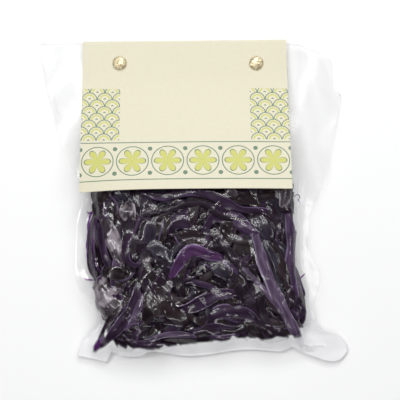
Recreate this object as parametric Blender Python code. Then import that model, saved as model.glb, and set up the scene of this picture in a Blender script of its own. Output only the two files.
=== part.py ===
"""Vacuum pouch of cooked, shredded red cabbage under a folded and riveted header card.

The pack lies on its back: +Z is up, out of its front, +Y runs to the fold of the card and +X to the right of
the front. The origin is the middle of the pack's box, on the surface that it rests on. Lengths are in metres.
"""

import math
import random

import bmesh
import bpy
import numpy as np
from mathutils import Vector
from mathutils.bvhtree import BVHTree

MM = 0.001

# The pressed block of strips: a rounded rectangle in plan, with a domed front and a flat back.
BLOCK_CENTRE = (3 * MM, -36 * MM)
BLOCK_HALF_WIDTH = 71 * MM
BLOCK_HALF_LENGTH = 68 * MM
BLOCK_CORNER_POWER = 5.5
BLOCK_LEAN = 8 * MM
BLOCK_LEANS_FROM = (-52 * MM, -84 * MM)
LOWER_EDGE_HUMPS = [(7 * MM, 40 * MM, 42 * MM), (-6 * MM, -66 * MM, 22 * MM)]
HUMPS_FADE = (-36 * MM, -100 * MM)
WELD_HEIGHT = 8 * MM
FRONT_DOME = 12 * MM
DOME_POWER = 4.0
UNDERSIDE = 1.05 * MM
RIM_DEPTH = 3.2 * MM
FLAT_SHARE = 0.72

# The pouch: two films, which meet in the welded margin.
FILM = 0.6 * MM
WELD_GAP = 0.3 * MM
FILM_CLEARANCE = 0.4 * MM
FILM_FLAT_SHARE = 0.68
MARGIN_FALL = 15 * MM
MARGIN_LOW = 1.4 * MM
MARGIN_UNDER_CARD = 3.0 * MM
MARGIN_RISES = (-60 * MM, 50 * MM)
MARGIN_WAVE = 1.6 * MM
WAVE_STEPS = (6 * MM, 11 * MM)
WAVE_GROWS = (-90 * MM, 20 * MM)
BESIDE_CARD = 22 * MM
FILM_COLUMNS = 24
FILM_ROWS = 27
EVENING_ROUNDS = 300
SAMPLES_PER_SIDE = 8
SETTLE_ROUNDS = 140
TAUT_ROUNDS = (40, 80)
FILM_TENSION = 0.4
SETTLE_STEP = 0.3

# The header card: one sheet folded over the pouch's top edge.
CARD = 0.6 * MM
CARD_LEFT = -78.6 * MM
CARD_RIGHT = 70.0 * MM
CARD_TOP = 116.3 * MM
CARD_FRONT_FOOT = 1.0 * MM
CARD_FOOT_BOW = 0.8 * MM
CARD_TURN = math.radians(0.6)
CARD_BACK_FOOT = 14.0 * MM
STEP_UP_TO_CARD = (2 * MM, 13 * MM)
CARD_BEND_AT = 83 * MM
CARD_BEND_LENGTH = 5 * MM
CARD_SLOPE = 0.27
CARD_BACK_RISE = 1.0 * MM
CARD_DROOP = 8.0 * MM
CARD_DROOP_FROM = -28 * MM
CARD_COLUMNS = 9
FRONT_PANEL_ROWS = 13
FOLD_STEPS = 6
BACK_PANEL_ROWS = 5

# Two rivets hold the card to the pouch.
RIVET_X = (-51.5 * MM, 48.0 * MM)
RIVET_Y = 98.6 * MM
RIVET_HEAD_RADIUS = 5.1 * MM
RIVET_HEAD_HEIGHT = 2.0 * MM
RIVET_SHANK_RADIUS = 1.6 * MM
RIVET_HEAD_EDGE = 0.5 * MM
RIVET_SEAT_GAP = 0.3 * MM
RIVET_FOOT_RADIUS = 3.6 * MM
RIVET_FOOT = (0.1 * MM, 0.7 * MM)
RIVET_SIDES = 14
HOLE_CLEARANCE = 0.35 * MM
PUNCH_LENGTH = 40 * MM

# Each edge of the pouch has the few points that its wavy line needs, in millimetres.
LEFT_EDGE = [
    (-78.6, -112.4), (-73.9, -102), (-63, -91.6), (-62.3, -84.7), (-74.5, -70.7), (-80.6, -56), (-81, -31),
    (-80, -14), (-75.8, -4.3), (-76.7, 6.5), (-87, 25), (-98.6, 58), (-108.3, 97), (-110.2, 114),
]
RIGHT_EDGE = [
    (104.5, -114.8), (110.2, -108.3), (106.5, -101), (99.5, -96.5), (92.2, -96.5), (88.1, -90.2), (87, -77),
    (92.3, -57.3), (84.8, -39.5), (84.4, -25), (86, -12), (98, 16), (102.8, 36), (109.4, 72.3), (104.4, 79),
    (103.4, 98), (99, 104),
]
BOTTOM_EDGE = [
    (-78.6, -112.4), (-67.5, -114.4), (-57.7, -116.2), (-54.4, -109.6), (-47.4, -112.4), (-34.8, -113),
    (-26.5, -109.6), (-3.5, -112.4), (10.5, -111.7), (38.4, -108), (62.8, -109.3), (70.5, -106.2),
    (78, -109.6), (89, -113.8), (98.2, -116.3), (104.5, -114.8),
]
TOP_EDGE = [(-110.2, 114), (-20, 114), (70, 114), (80.2, 112.4), (91, 107.8), (99, 104)]

# The strips that stand out on the front: centreline, greatest width and how high each lies, in millimetres.
FRONT_STRIPS = [
    ([(-14, -61), (-8, -51), (-1, -42), (5, -41), (14, -44), (23, -46)], 9, 0.8),
    ([(47, -32), (52, -44), (57, -57), (63, -68), (69, -80), (75, -92), (79, -100)], 11, 0.8),
    ([(-33, 1), (-22, -3), (-11, -2), (0, 0), (7, 0), (17, -4), (27, -8), (37, -12), (56, -12)], 7, 0.7),
    ([(-36, -10), (-24, -12), (-11, -11), (0, -8), (9, -8), (18, -15), (25, -18), (43, -20)], 5, 0.4),
    ([(-61, -18), (-58, -27), (-54, -37), (-48, -48), (-39, -58)], 9, 0.4),
    ([(-58, -21), (-51, -32), (-46, -44), (-38, -53), (-32, -56)], 10, 0.6),
    ([(-61, -66), (-52, -63), (-41, -62)], 14, 0.3),
    ([(-56, -82), (-50, -75), (-42, -69)], 14, 0.4),
    ([(-32, -66), (-34, -77), (-41, -86), (-47, -94), (-54, -103), (-60, -107)], 8, 0.7),
    ([(-30, -87), (-24, -78), (-18, -75), (-10, -80), (-2, -88), (6, -89)], 13, 0.4),
    ([(-8, -81), (5, -78), (16, -74), (26, -73), (34, -75)], 9, 0.6),
    ([(12, -89), (23, -86), (33, -87), (42, -88), (52, -90)], 11, 0.5),
    ([(-64, -14), (-66, -26), (-67, -38), (-64, -48), (-60, -56)], 6, 0.4),
    ([(68, -15), (70, -27), (71, -40), (70, -52), (72, -65), (74, -76)], 7, 0.4),
    ([(34, -50), (45, -61), (54, -70), (62, -77), (68, -90)], 7, 0.6),
    ([(-39, -10), (-32, -16), (-33, -26), (-39, -35)], 5, 0.7),
    ([(-31, -35), (-26, -43), (-24, -52), (-23, -57)], 4, 0.7),
    ([(16, -27), (21, -35), (28, -42), (32, -48), (36, -57)], 6, 0.6),
    ([(46, -17), (52, -27), (58, -37), (64, -48), (69, -61)], 8, 0.4),
    ([(25, 3), (32, -4), (43, -3), (54, -1), (67, 1)], 8, 0.4),
]

# The other strips fill the front, the back and the rim, with places and widths drawn at random.
STRIP_SEED = 7
STRIP_THICKNESS = 5 * MM
FRONT_CELLS = (7, 7)
FRONT_REACH = 0.92
FRONT_STEP = 12 * MM
FRONT_WIDTHS = (5 * MM, 9 * MM)
FRONT_LIFTS = (-1.0 * MM, 0.2 * MM)
BACK_CELLS = (4, 4)
BACK_REACH = 0.86
BACK_STEP = 13 * MM
BACK_WIDTHS = (6 * MM, 10 * MM)
BACK_LIFT = 2 * MM
RIM_STRIPS = 12
RIM_REACHES = (0.93, 0.97)
RIM_SWEEPS = (0.5, 0.8)
RIM_WIDTHS = (4 * MM, 6 * MM)
RIM_LIFTS = (-1.5 * MM, 2.5 * MM)
MOST_REACH = 0.97
SIDEWAYS_BEND = 0.45

# The core inside the strips: rings from the middle of its front, round its rim, to the middle of its back.
CORE_DEPTH = 2.2 * MM
CORE_RIM = 3 * MM
CORE_FRONT_RINGS = [(0.35, 1), (0.62, 1), (0.80, 1), (0.90, 1), (0.955, 0.5)]
CORE_BACK_RINGS = [(0.955, 0.5), (0.84, 0), (0.6, 0)]
CORE_SIDES = 32


def clear_scene():
    for obj in list(bpy.data.objects):
        bpy.data.objects.remove(obj, do_unlink=True)


def make_material(name, colour, roughness, metallic=0.0, alpha=1.0):
    material = bpy.data.materials.new(name)
    material.use_nodes = True
    shader = material.node_tree.nodes["Principled BSDF"]
    shader.inputs["Base Color"].default_value = (*colour, 1.0)
    shader.inputs["Roughness"].default_value = roughness
    shader.inputs["Metallic"].default_value = metallic
    shader.inputs["Alpha"].default_value = alpha
    return material


def add_object(name, vertices, faces, material=None):
    mesh = bpy.data.meshes.new(name)
    mesh.from_pydata([tuple(v) for v in vertices], [], faces)
    mesh.validate()
    obj = bpy.data.objects.new(name, mesh)
    bpy.context.scene.collection.objects.link(obj)
    if material:
        mesh.materials.append(material)
    return obj


def apply_modifiers(obj):
    """Puts the object's evaluated mesh in place of its own and removes the modifiers."""
    graph = bpy.context.evaluated_depsgraph_get()
    mesh = bpy.data.meshes.new_from_object(obj.evaluated_get(graph))
    obj.modifiers.clear()
    obj.data = mesh


def keep_largest_shell(obj):
    """Fills the hollows that joining has sealed, by removing every closed surface but the largest."""
    mesh = bmesh.new()
    mesh.from_mesh(obj.data)
    unseen = set(mesh.verts)
    shells = []
    for vertex in mesh.verts:
        if vertex not in unseen:
            continue
        unseen.remove(vertex)
        shell = [vertex]
        for reached in shell:
            for edge in reached.link_edges:
                other = edge.other_vert(reached)
                if other in unseen:
                    unseen.remove(other)
                    shell.append(other)
        shells.append(shell)
    shells.sort(key=len)
    for shell in shells[:-1]:
        bmesh.ops.delete(mesh, geom=shell, context="VERTS")
    mesh.to_mesh(obj.data)
    mesh.free()


def smoothstep(low, high, value):
    t = np.clip((value - low) / (high - low), 0, 1)
    return t * t * (3 - 2 * t)


def smooth_curve(points, count):
    """count points at even spacing along a Catmull-Rom curve through points."""
    knots = np.array(points, float)
    ends = np.vstack([2 * knots[0] - knots[1], knots, 2 * knots[-1] - knots[-2]])
    t = np.linspace(0, 1, 16, endpoint=False)[:, None]
    runs = []
    for a, b, c, d in zip(ends[:-3], ends[1:-2], ends[2:-1], ends[3:]):
        cubic = (3 * b - a - 3 * c + d) * t**3 + (2 * a - 5 * b + 4 * c - d) * t**2
        runs.append(0.5 * (cubic + (c - a) * t + 2 * b))
    fine = np.vstack([*runs, knots[-1:]])
    along = np.concatenate([[0], np.cumsum(np.linalg.norm(np.diff(fine, axis=0), axis=1))])
    even = np.linspace(0, along[-1], count)
    return np.column_stack([np.interp(even, along, fine[:, axis]) for axis in range(fine.shape[1])])


def block_middle(y):
    """The block's middle line in x: its lower end is pressed over to the right."""
    upper, lower = BLOCK_LEANS_FROM
    return BLOCK_CENTRE[0] + BLOCK_LEAN * smoothstep(-upper, -lower, -y)


def lower_edge_shift(x, y):
    """How far the block's lower part is pushed up at x: in at the right, and out at the left corner."""
    upper, lower = HUMPS_FADE
    shift = sum(height * np.exp(-(((x - middle) / width) ** 2)) for height, middle, width in LOWER_EDGE_HUMPS)
    return shift * smoothstep(-upper, -lower, -y)


def block_radius(x, y):
    """0 at the middle of the block and 1 on its outline."""
    across = np.abs((x - block_middle(y)) / BLOCK_HALF_WIDTH) ** BLOCK_CORNER_POWER
    y = y - lower_edge_shift(x, y)
    along = np.abs((y - BLOCK_CENTRE[1]) / BLOCK_HALF_LENGTH) ** BLOCK_CORNER_POWER
    return (across + along) ** (1 / BLOCK_CORNER_POWER)


def outline_point(angle, radius):
    """The point of the block's plan at this angle and share of its outline."""
    c, s = math.cos(angle), math.sin(angle)
    power = 2 / BLOCK_CORNER_POWER
    y = BLOCK_CENTRE[1] + radius * BLOCK_HALF_LENGTH * math.copysign(abs(s) ** power, s)
    x = float(block_middle(y)) + radius * BLOCK_HALF_WIDTH * math.copysign(abs(c) ** power, c)
    return x, y + float(lower_edge_shift(x, y))


def dome(x, y):
    """The share of its full height that the block's front has over this point."""
    return np.sqrt(np.clip(1 - block_radius(x, y) ** DOME_POWER, 0, 1))


def weld_surface(x, y):
    """Height of the plane where the two films meet: it runs level through the block and sinks outside it."""
    outside = np.maximum(block_radius(x, y) - 1, 0) * BLOCK_HALF_LENGTH
    near = np.exp(-((outside / MARGIN_FALL) ** 2))
    low = MARGIN_LOW + (MARGIN_UNDER_CARD - MARGIN_LOW) * smoothstep(*MARGIN_RISES, y)
    left_of_card = smoothstep(-CARD_LEFT, -CARD_LEFT + BESIDE_CARD, -x)
    right_of_card = smoothstep(CARD_RIGHT, CARD_RIGHT + BESIDE_CARD, x)
    wave = MARGIN_WAVE * np.sin(x / WAVE_STEPS[0] - y / WAVE_STEPS[1]) * smoothstep(*WAVE_GROWS, y)
    wave = wave * np.maximum(left_of_card, right_of_card)
    surface = low + (WELD_HEIGHT - low) * near + wave * (1 - near)
    return np.maximum(surface, back_floor(y) + FILM + WELD_GAP)


def card_back_height(y):
    """Height of the middle of the card's back panel, which slopes up from its foot to the fold."""
    share = (y - CARD_BACK_FOOT) / (CARD_TOP - CARD_BACK_FOOT)
    return CARD / 2 + CARD_BACK_RISE * np.clip(share, 0, 1)


def back_floor(y):
    """The lowest that the pouch reaches: the resting plane, or just over the card's back panel."""
    return smoothstep(*STEP_UP_TO_CARD, y) * (card_back_height(y) + CARD / 2 + FILM_CLEARANCE)


def underside(x, y):
    """The lowest that a strip reaches: flat under the block's middle, and rising to the weld at its rim."""
    rise = smoothstep(FLAT_SHARE, 1.0, block_radius(x, y))
    low = UNDERSIDE + back_floor(y)
    return low + (weld_surface(x, y) - RIM_DEPTH - low) * rise


def front_height(x, y):
    """Height of the block's front before the strips that stand out of it."""
    return weld_surface(x, y) + FRONT_DOME * dome(x, y)


def sweep_strip(points, width, lift, height, sides, stations):
    """A tapering strip with a flattened section, laid along points at lift over the height function."""
    line = smooth_curve(points, stations)
    vertices = []
    for i, (x, y) in enumerate(line):
        before, after = line[max(i - 1, 0)], line[min(i + 1, len(line) - 1)]
        forward = Vector((after[0] - before[0], after[1] - before[1], 0)).normalized()
        side = Vector((-forward.y, forward.x, 0))
        taper = 0.4 + 0.6 * math.sin(math.pi * (i + 0.4) / (len(line) - 0.2)) ** 0.6
        centre = Vector((x, y, float(height(x, y)) + lift))
        for k in range(sides):
            angle = 2 * math.pi * k / sides
            across = side * (math.cos(angle) * width / 2 * taper)
            up = Vector((0, 0, math.sin(angle) * STRIP_THICKNESS / 2 * taper))
            corner = centre + across + up
            corner.z = max(corner.z, float(underside(corner.x, corner.y)))
            vertices.append(corner)
    faces = []
    for i in range(len(line) - 1):
        for k in range(sides):
            a, b = i * sides + k, i * sides + (k + 1) % sides
            faces.append((a, b, b + sides, a + sides))
    last = (len(line) - 1) * sides
    faces.append(tuple(reversed(range(sides))))
    faces.append(tuple(range(last, last + sides)))
    return vertices, faces


def scattered_strips(rng, across, along, reach, step):
    """Bent strips with random headings, one in each cell of a grid laid over the block."""
    lines = []
    for i in range(across):
        for j in range(along):
            u = (2 * (i + rng.uniform(0.2, 0.8)) / across - 1) * reach
            v = (2 * (j + rng.uniform(0.2, 0.8)) / along - 1) * reach
            y = BLOCK_CENTRE[1] + v * BLOCK_HALF_LENGTH
            x = float(block_middle(y)) + u * BLOCK_HALF_WIDTH
            while True:
                heading, bend = rng.uniform(0, 2 * math.pi), rng.uniform(-SIDEWAYS_BEND, SIDEWAYS_BEND)
                turns = [heading + bend * k for k in (-1, 0, 1)]
                start = (x - 1.5 * step * math.cos(heading), y - 1.5 * step * math.sin(heading))
                line = [start]
                for turn in turns:
                    line.append((line[-1][0] + step * math.cos(turn), line[-1][1] + step * math.sin(turn)))
                if max(float(block_radius(*point)) for point in line) < MOST_REACH:
                    break
                x += (float(block_middle(y)) - x) / 25
                y += (BLOCK_CENTRE[1] - y) / 25
            lines.append(line)
    return lines


def block_core():
    """The packed inside of the block, which the strips stand out of."""
    mesh = bmesh.new()
    height = FRONT_DOME - CORE_DEPTH
    rings = []
    for on_front, levels in ((True, CORE_FRONT_RINGS), (False, CORE_BACK_RINGS)):
        for radius, share in levels:
            ring = []
            for i in range(CORE_SIDES):
                x, y = outline_point(2 * math.pi * (i + 0.5) / CORE_SIDES, radius)
                if on_front:
                    z = WELD_HEIGHT + share * height * float(dome(x, y))
                else:
                    z = float(underside(x, y)) + share * CORE_RIM
                ring.append(mesh.verts.new((x, y, z)))
            rings.append(ring)
    for upper, lower in zip(rings, rings[1:]):
        for i in range(CORE_SIDES):
            j = (i + 1) % CORE_SIDES
            mesh.faces.new((upper[i], lower[i], lower[j], upper[j]))
    top = mesh.verts.new((*BLOCK_CENTRE, WELD_HEIGHT + height))
    bottom = mesh.verts.new((*BLOCK_CENTRE, UNDERSIDE))
    for i in range(CORE_SIDES):
        j = (i + 1) % CORE_SIDES
        mesh.faces.new((top, rings[0][i], rings[0][j]))
        mesh.faces.new((bottom, rings[-1][j], rings[-1][i]))
    bmesh.ops.recalc_face_normals(mesh, faces=mesh.faces)
    data = bpy.data.meshes.new("cabbage_shreds")
    mesh.to_mesh(data)
    mesh.free()
    core = bpy.data.objects.new("cabbage_shreds", data)
    bpy.context.scene.collection.objects.link(core)
    return core


def make_cabbage(material):
    """The block: its core and every strip on its front, back and rim, joined in one body."""
    rng = random.Random(STRIP_SEED)
    strips = []
    for points, width, lift in FRONT_STRIPS:
        line = [(x * MM, y * MM) for x, y in points]
        strips.append(sweep_strip(line, width * MM, lift * MM, front_height, 6, 7))
    for line in scattered_strips(rng, *FRONT_CELLS, FRONT_REACH, FRONT_STEP):
        width, lift = rng.uniform(*FRONT_WIDTHS), rng.uniform(*FRONT_LIFTS)
        strips.append(sweep_strip(line, width, lift, front_height, 4, 5))
    for line in scattered_strips(rng, *BACK_CELLS, BACK_REACH, BACK_STEP):
        strips.append(sweep_strip(line, rng.uniform(*BACK_WIDTHS), BACK_LIFT, underside, 4, 5))
    for i in range(RIM_STRIPS):
        start = 2 * math.pi * (i + rng.uniform(-0.2, 0.2)) / RIM_STRIPS
        sweep, radius = rng.uniform(*RIM_SWEEPS), rng.uniform(*RIM_REACHES)
        line = [outline_point(start + sweep * t / 4, radius) for t in range(5)]
        width, lift = rng.uniform(*RIM_WIDTHS), rng.uniform(*RIM_LIFTS)
        strips.append(sweep_strip(line, width, lift, weld_surface, 4, 6))

    core = block_core()
    joined = bpy.data.collections.new("strips")
    bpy.context.scene.collection.children.link(joined)
    for number, (vertices, faces) in enumerate(strips):
        strip = add_object(f"strip_{number}", vertices, faces)
        bpy.context.scene.collection.objects.unlink(strip)
        joined.objects.link(strip)
    union = core.modifiers.new("strips", "BOOLEAN")
    union.operation = "UNION"
    union.operand_type = "COLLECTION"
    union.collection = joined
    union.solver = "MANIFOLD"
    apply_modifiers(core)
    for strip in list(joined.objects):
        bpy.data.objects.remove(strip, do_unlink=True)
    bpy.data.collections.remove(joined)
    keep_largest_shell(core)
    core.data.materials.clear()
    core.data.materials.append(material)
    return core


def pouch_plan():
    """The plan of both films: a grid that fits the four wavy edges, evened out inside them."""
    left = smooth_curve(LEFT_EDGE, FILM_ROWS + 1) * MM
    right = smooth_curve(RIGHT_EDGE, FILM_ROWS + 1) * MM
    bottom = smooth_curve(BOTTOM_EDGE, FILM_COLUMNS + 1) * MM
    top = smooth_curve(TOP_EDGE, FILM_COLUMNS + 1) * MM
    u = np.linspace(0, 1, FILM_COLUMNS + 1)[None, :, None]
    v = np.linspace(0, 1, FILM_ROWS + 1)[:, None, None]
    ruled = (1 - v) * bottom[None] + v * top[None] + (1 - u) * left[:, None] + u * right[:, None]
    corners = (1 - u) * ((1 - v) * bottom[0] + v * top[0]) + u * ((1 - v) * bottom[-1] + v * top[-1])
    plan = ruled - corners
    for _ in range(EVENING_ROUNDS):
        plan[1:-1, 1:-1] = (plan[:-2, 1:-1] + plan[2:, 1:-1] + plan[1:-1, :-2] + plan[1:-1, 2:]) / 4
    return plan


def grid_triangles():
    """The triangles of the plan's grid, as rows of three vertex numbers."""
    triangles = []
    across = FILM_COLUMNS + 1
    for row in range(FILM_ROWS):
        for column in range(FILM_COLUMNS):
            a = row * across + column
            b, c, d = a + 1, a + across + 1, a + across
            if (row + column) % 2:
                triangles += [(a, b, c), (a, c, d)]
            else:
                triangles += [(a, b, d), (b, c, d)]
    return np.array(triangles)


def sample_shares():
    """Places inside one triangle, as shares of its three corners."""
    steps = range(SAMPLES_PER_SIDE + 1)
    shares = [(i, j, SAMPLES_PER_SIDE - i - j) for i in steps for j in steps if i + j <= SAMPLES_PER_SIDE]
    return np.array(shares) / SAMPLES_PER_SIDE


def cast(tree, x, y, from_above):
    """Height of the block where a line through (x, y) first meets it, or None past its outline."""
    start = 1.0 if from_above else -1.0
    hit = tree.ray_cast(Vector((x, y, start)), Vector((0, 0, -start)))[0]
    return None if hit is None else hit.z


def neighbour_mean(grid):
    """The mean of each value's four neighbours, with the grid's edges repeated outside it."""
    wide = np.pad(grid, 1, mode="edge")
    return (wide[:-2, 1:-1] + wide[2:, 1:-1] + wide[1:-1, :-2] + wide[1:-1, 2:]) / 4


def settle_film(plan, triangles, start, tree, from_above):
    """Heights of a film's inner face: pulled taut from start, and off the block by the clearance."""
    sign = 1 if from_above else -1
    floor = sign * start
    heights = floor.copy()
    shares = sample_shares()
    places = np.einsum("sk,tkc->tsc", shares, plan.reshape(-1, 2)[triangles])
    limits = np.full(places.shape[:2], -1.0)
    for t in range(places.shape[0]):
        for s in range(places.shape[1]):
            z = cast(tree, *places[t, s], from_above)
            if z is not None:
                limits[t, s] = sign * z + FILM_CLEARANCE
    weights = shares / (shares**2).sum(1, keepdims=True)
    for number in range(SETTLE_ROUNDS):
        if number in TAUT_ROUNDS:
            taut = heights + FILM_TENSION * (neighbour_mean(heights) - heights)
            heights = np.maximum(taut, floor)
        short = limits - heights.reshape(-1)[triangles] @ shares.T
        push = (np.clip(short, 0, None)[:, :, None] * weights[None]).max(1)
        moved = np.zeros(heights.size)
        np.maximum.at(moved, triangles, push * SETTLE_STEP)
        heights = heights + moved.reshape(heights.shape)
    return sign * heights


def slope_thickness(plan, heights):
    """Upright thickness of a film that keeps its true thickness where it slopes."""
    rise_rows = np.gradient(heights, axis=0) / np.linalg.norm(np.gradient(plan, axis=0), axis=2)
    rise_columns = np.gradient(heights, axis=1) / np.linalg.norm(np.gradient(plan, axis=1), axis=2)
    return FILM * np.clip(np.sqrt(1 + rise_rows**2 + rise_columns**2), 1, 2)


def make_film(name, plan, triangles, lower, upper, material):
    """A film as a closed sheet between two height grids on one plan."""
    count = plan.shape[0] * plan.shape[1]
    flat = plan.reshape(-1, 2)
    vertices = [(*p, z) for p, z in zip(flat, upper.reshape(-1))]
    vertices += [(*p, z) for p, z in zip(flat, lower.reshape(-1))]
    faces = [tuple(t) for t in triangles]
    faces += [tuple(int(i) + count for i in reversed(t)) for t in triangles]
    across, rows = FILM_COLUMNS + 1, FILM_ROWS + 1
    loop = list(range(across))
    loop += [row * across + FILM_COLUMNS for row in range(1, rows)]
    loop += [FILM_ROWS * across + column for column in range(FILM_COLUMNS - 1, -1, -1)]
    loop += [row * across for row in range(rows - 2, 0, -1)]
    for a, b in zip(loop, loop[1:] + loop[:1]):
        faces += [(a, a + count, b + count), (a, b + count, b)]
    film = add_object(name, vertices, [tuple(int(i) for i in face) for face in faces], material)
    film.data.shade_smooth()
    return film


def make_pouch(block, material):
    """The front and back film, each settled on its side of the block."""
    plan = pouch_plan()
    triangles = grid_triangles()
    x, y = plan[..., 0], plan[..., 1]
    tree = BVHTree.FromObject(block, bpy.context.evaluated_depsgraph_get())
    weld = weld_surface(x, y)

    inner_front = settle_film(plan, triangles, weld + WELD_GAP / 2, tree, True)
    outer_front = inner_front + slope_thickness(plan, inner_front)
    front = make_film("film_front", plan, triangles, inner_front, outer_front, material)

    rise = smoothstep(FILM_FLAT_SHARE, 1.0, block_radius(x, y))
    floor = back_floor(y)
    start = FILM + floor + (weld - WELD_GAP / 2 - FILM - floor) * rise
    inner_back = np.maximum(settle_film(plan, triangles, start, tree, False), FILM + floor)
    outer_back = np.maximum(inner_back - slope_thickness(plan, inner_back), floor)
    back = make_film("film_back", plan, triangles, outer_back, inner_back, material)
    return front, back


def front_panel_height(x, y):
    """Height of the card's inner face over the pouch: level at the rivets, then rising over the block."""
    past_bend = CARD_BEND_LENGTH * math.log1p(math.exp((CARD_BEND_AT - y) / CARD_BEND_LENGTH))
    droop = CARD_DROOP * (max(CARD_DROOP_FROM - x, 0) / (CARD_DROOP_FROM - CARD_LEFT)) ** 2
    share = min(past_bend / CARD_BEND_AT, 1.0)
    level = MARGIN_UNDER_CARD + WELD_GAP / 2 + FILM + FILM_CLEARANCE
    return level + CARD_SLOPE * past_bend - droop * share**2


def card_rows(x):
    """The (y, z) line of the card's middle surface at x, from its front foot to its back foot."""
    share = (x - CARD_LEFT) / (CARD_RIGHT - CARD_LEFT)
    foot = CARD_FRONT_FOOT + CARD_FOOT_BOW * (1 - (2 * share - 1) ** 2)
    front_fold, back_fold = front_panel_height(x, CARD_TOP) + CARD / 2, card_back_height(CARD_TOP)
    radius = (front_fold - back_fold) / 2
    fold_y = CARD_TOP - radius - CARD / 2
    rows = [(y, front_panel_height(x, y) + CARD / 2) for y in np.linspace(foot, fold_y, FRONT_PANEL_ROWS)]
    for step in range(1, FOLD_STEPS):
        angle = math.pi / 2 - math.pi * step / FOLD_STEPS
        rows.append((fold_y + radius * math.cos(angle), back_fold + radius * (1 + math.sin(angle))))
    rows += [(y, card_back_height(y)) for y in np.linspace(fold_y, CARD_BACK_FOOT, BACK_PANEL_ROWS)]
    return rows


def make_card(material):
    """One folded sheet: a grid along its middle surface, thickened both ways, and hung a little askew."""
    columns = np.linspace(CARD_LEFT, CARD_RIGHT, CARD_COLUMNS + 1)
    grid = np.array([[(x, y - CARD_TOP, z) for y, z in card_rows(x)] for x in columns])
    rows = grid.shape[1]
    along = np.gradient(grid, axis=1)
    across = np.gradient(grid, axis=0)
    normals = np.cross(across, along)
    normals /= np.linalg.norm(normals, axis=2, keepdims=True)
    outer = (grid + normals * CARD / 2).reshape(-1, 3)
    inner = (grid - normals * CARD / 2).reshape(-1, 3)
    count = len(outer)
    faces = []
    for i in range(CARD_COLUMNS):
        for j in range(rows - 1):
            a, b, c, d = i * rows + j, (i + 1) * rows + j, (i + 1) * rows + j + 1, i * rows + j + 1
            faces += [(a, b, c), (a, c, d)]
            faces += [(a + count, c + count, b + count), (a + count, d + count, c + count)]
    loop = [i * rows for i in range(CARD_COLUMNS + 1)]
    loop += [CARD_COLUMNS * rows + j for j in range(1, rows)]
    loop += [i * rows + rows - 1 for i in range(CARD_COLUMNS - 1, -1, -1)]
    loop += list(range(rows - 2, 0, -1))
    for a, b in zip(loop, loop[1:] + loop[:1]):
        faces += [(a, a + count, b + count), (a, b + count, b)]
    card = add_object("header_card", np.vstack([outer, inner]), faces, material)
    card.data.shade_smooth()
    card.data.set_sharp_from_angle(angle=math.radians(40))
    card.location = (0, CARD_TOP, 0)
    card.rotation_euler = (0, 0, CARD_TURN)
    return card


def make_rivet(name, x, material):
    """A turned rivet: domed head on the card's front, shank through the stack and a flat foot behind it."""
    seat = front_panel_height(x, RIVET_Y) + CARD + RIVET_SEAT_GAP
    foot_low, foot_high = RIVET_FOOT
    crown = RIVET_HEAD_HEIGHT - RIVET_HEAD_EDGE
    profile = [(0, seat + RIVET_HEAD_HEIGHT)]
    for degrees in (70, 45, 20, 0):
        a = math.radians(degrees)
        profile.append((RIVET_HEAD_RADIUS * math.cos(a), seat + RIVET_HEAD_EDGE + crown * math.sin(a)))
    profile += [
        (RIVET_HEAD_RADIUS, seat), (RIVET_SHANK_RADIUS, seat), (RIVET_SHANK_RADIUS, foot_high),
        (RIVET_FOOT_RADIUS, foot_high), (RIVET_FOOT_RADIUS, foot_low), (0, foot_low),
    ]
    mesh = bmesh.new()
    line = [mesh.verts.new((r, 0, z)) for r, z in profile]
    edges = [mesh.edges.new(pair) for pair in zip(line, line[1:])]
    bmesh.ops.spin(mesh, geom=line + edges, axis=(0, 0, 1), cent=(0, 0, 0), steps=RIVET_SIDES,
                   angle=2 * math.pi)
    bmesh.ops.remove_doubles(mesh, verts=mesh.verts, dist=0.01 * MM)
    bmesh.ops.recalc_face_normals(mesh, faces=mesh.faces)
    data = bpy.data.meshes.new(name)
    mesh.to_mesh(data)
    mesh.free()
    data.materials.append(material)
    data.shade_smooth()
    data.set_sharp_from_angle(angle=math.radians(40))
    rivet = bpy.data.objects.new(name, data)
    bpy.context.scene.collection.objects.link(rivet)
    rivet.location = (x, RIVET_Y, 0)
    return rivet


def centre_pack(pieces):
    """Moves every piece so that the middle of the pack's box lies over the origin."""
    bpy.context.view_layer.update()
    corners = np.array([piece.matrix_world @ vertex.co for piece in pieces for vertex in piece.data.vertices])
    middle = (corners.min(0) + corners.max(0)) / 2
    for piece in pieces:
        piece.location -= Vector((middle[0], middle[1], 0))


def punch_holes(sheets, rivets):
    """Cuts both rivet holes through every sheet of the stack."""
    for rivet in rivets:
        bpy.ops.mesh.primitive_cylinder_add(
            vertices=RIVET_SIDES, radius=RIVET_SHANK_RADIUS + HOLE_CLEARANCE, depth=PUNCH_LENGTH,
            location=rivet.location,
        )
        punch = bpy.context.active_object
        punch.name = f"punch_{rivet.name}"
        punch.hide_render = True
        punch.display_type = "WIRE"
        for sheet in sheets:
            hole = sheet.modifiers.new(punch.name, "BOOLEAN")
            hole.operation = "DIFFERENCE"
            hole.object = punch
            hole.solver = "EXACT"


def main():
    clear_scene()
    cabbage = make_material("cabbage", (0.055, 0.012, 0.075), 0.3)
    film = make_material("clear_film", (0.93, 0.94, 0.95), 0.08, alpha=0.25)
    card = make_material("cream_card", (0.87, 0.84, 0.66), 0.6)
    brass = make_material("brass", (0.80, 0.62, 0.30), 0.25, metallic=1.0)
    block = make_cabbage(cabbage)
    sheets = [*make_pouch(block, film), make_card(card)]
    rivets = [make_rivet(f"rivet_{side}", x, brass) for side, x in zip(("left", "right"), RIVET_X)]
    centre_pack([block, *sheets, *rivets])
    punch_holes(sheets, rivets)


main()
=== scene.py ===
"""Looks of a vacuum pouch of cooked, shredded red cabbage under a folded and riveted header card."""

import math
import random

import bpy
import numpy as np
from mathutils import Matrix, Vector
from mathutils.bvhtree import BVHTree


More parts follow.
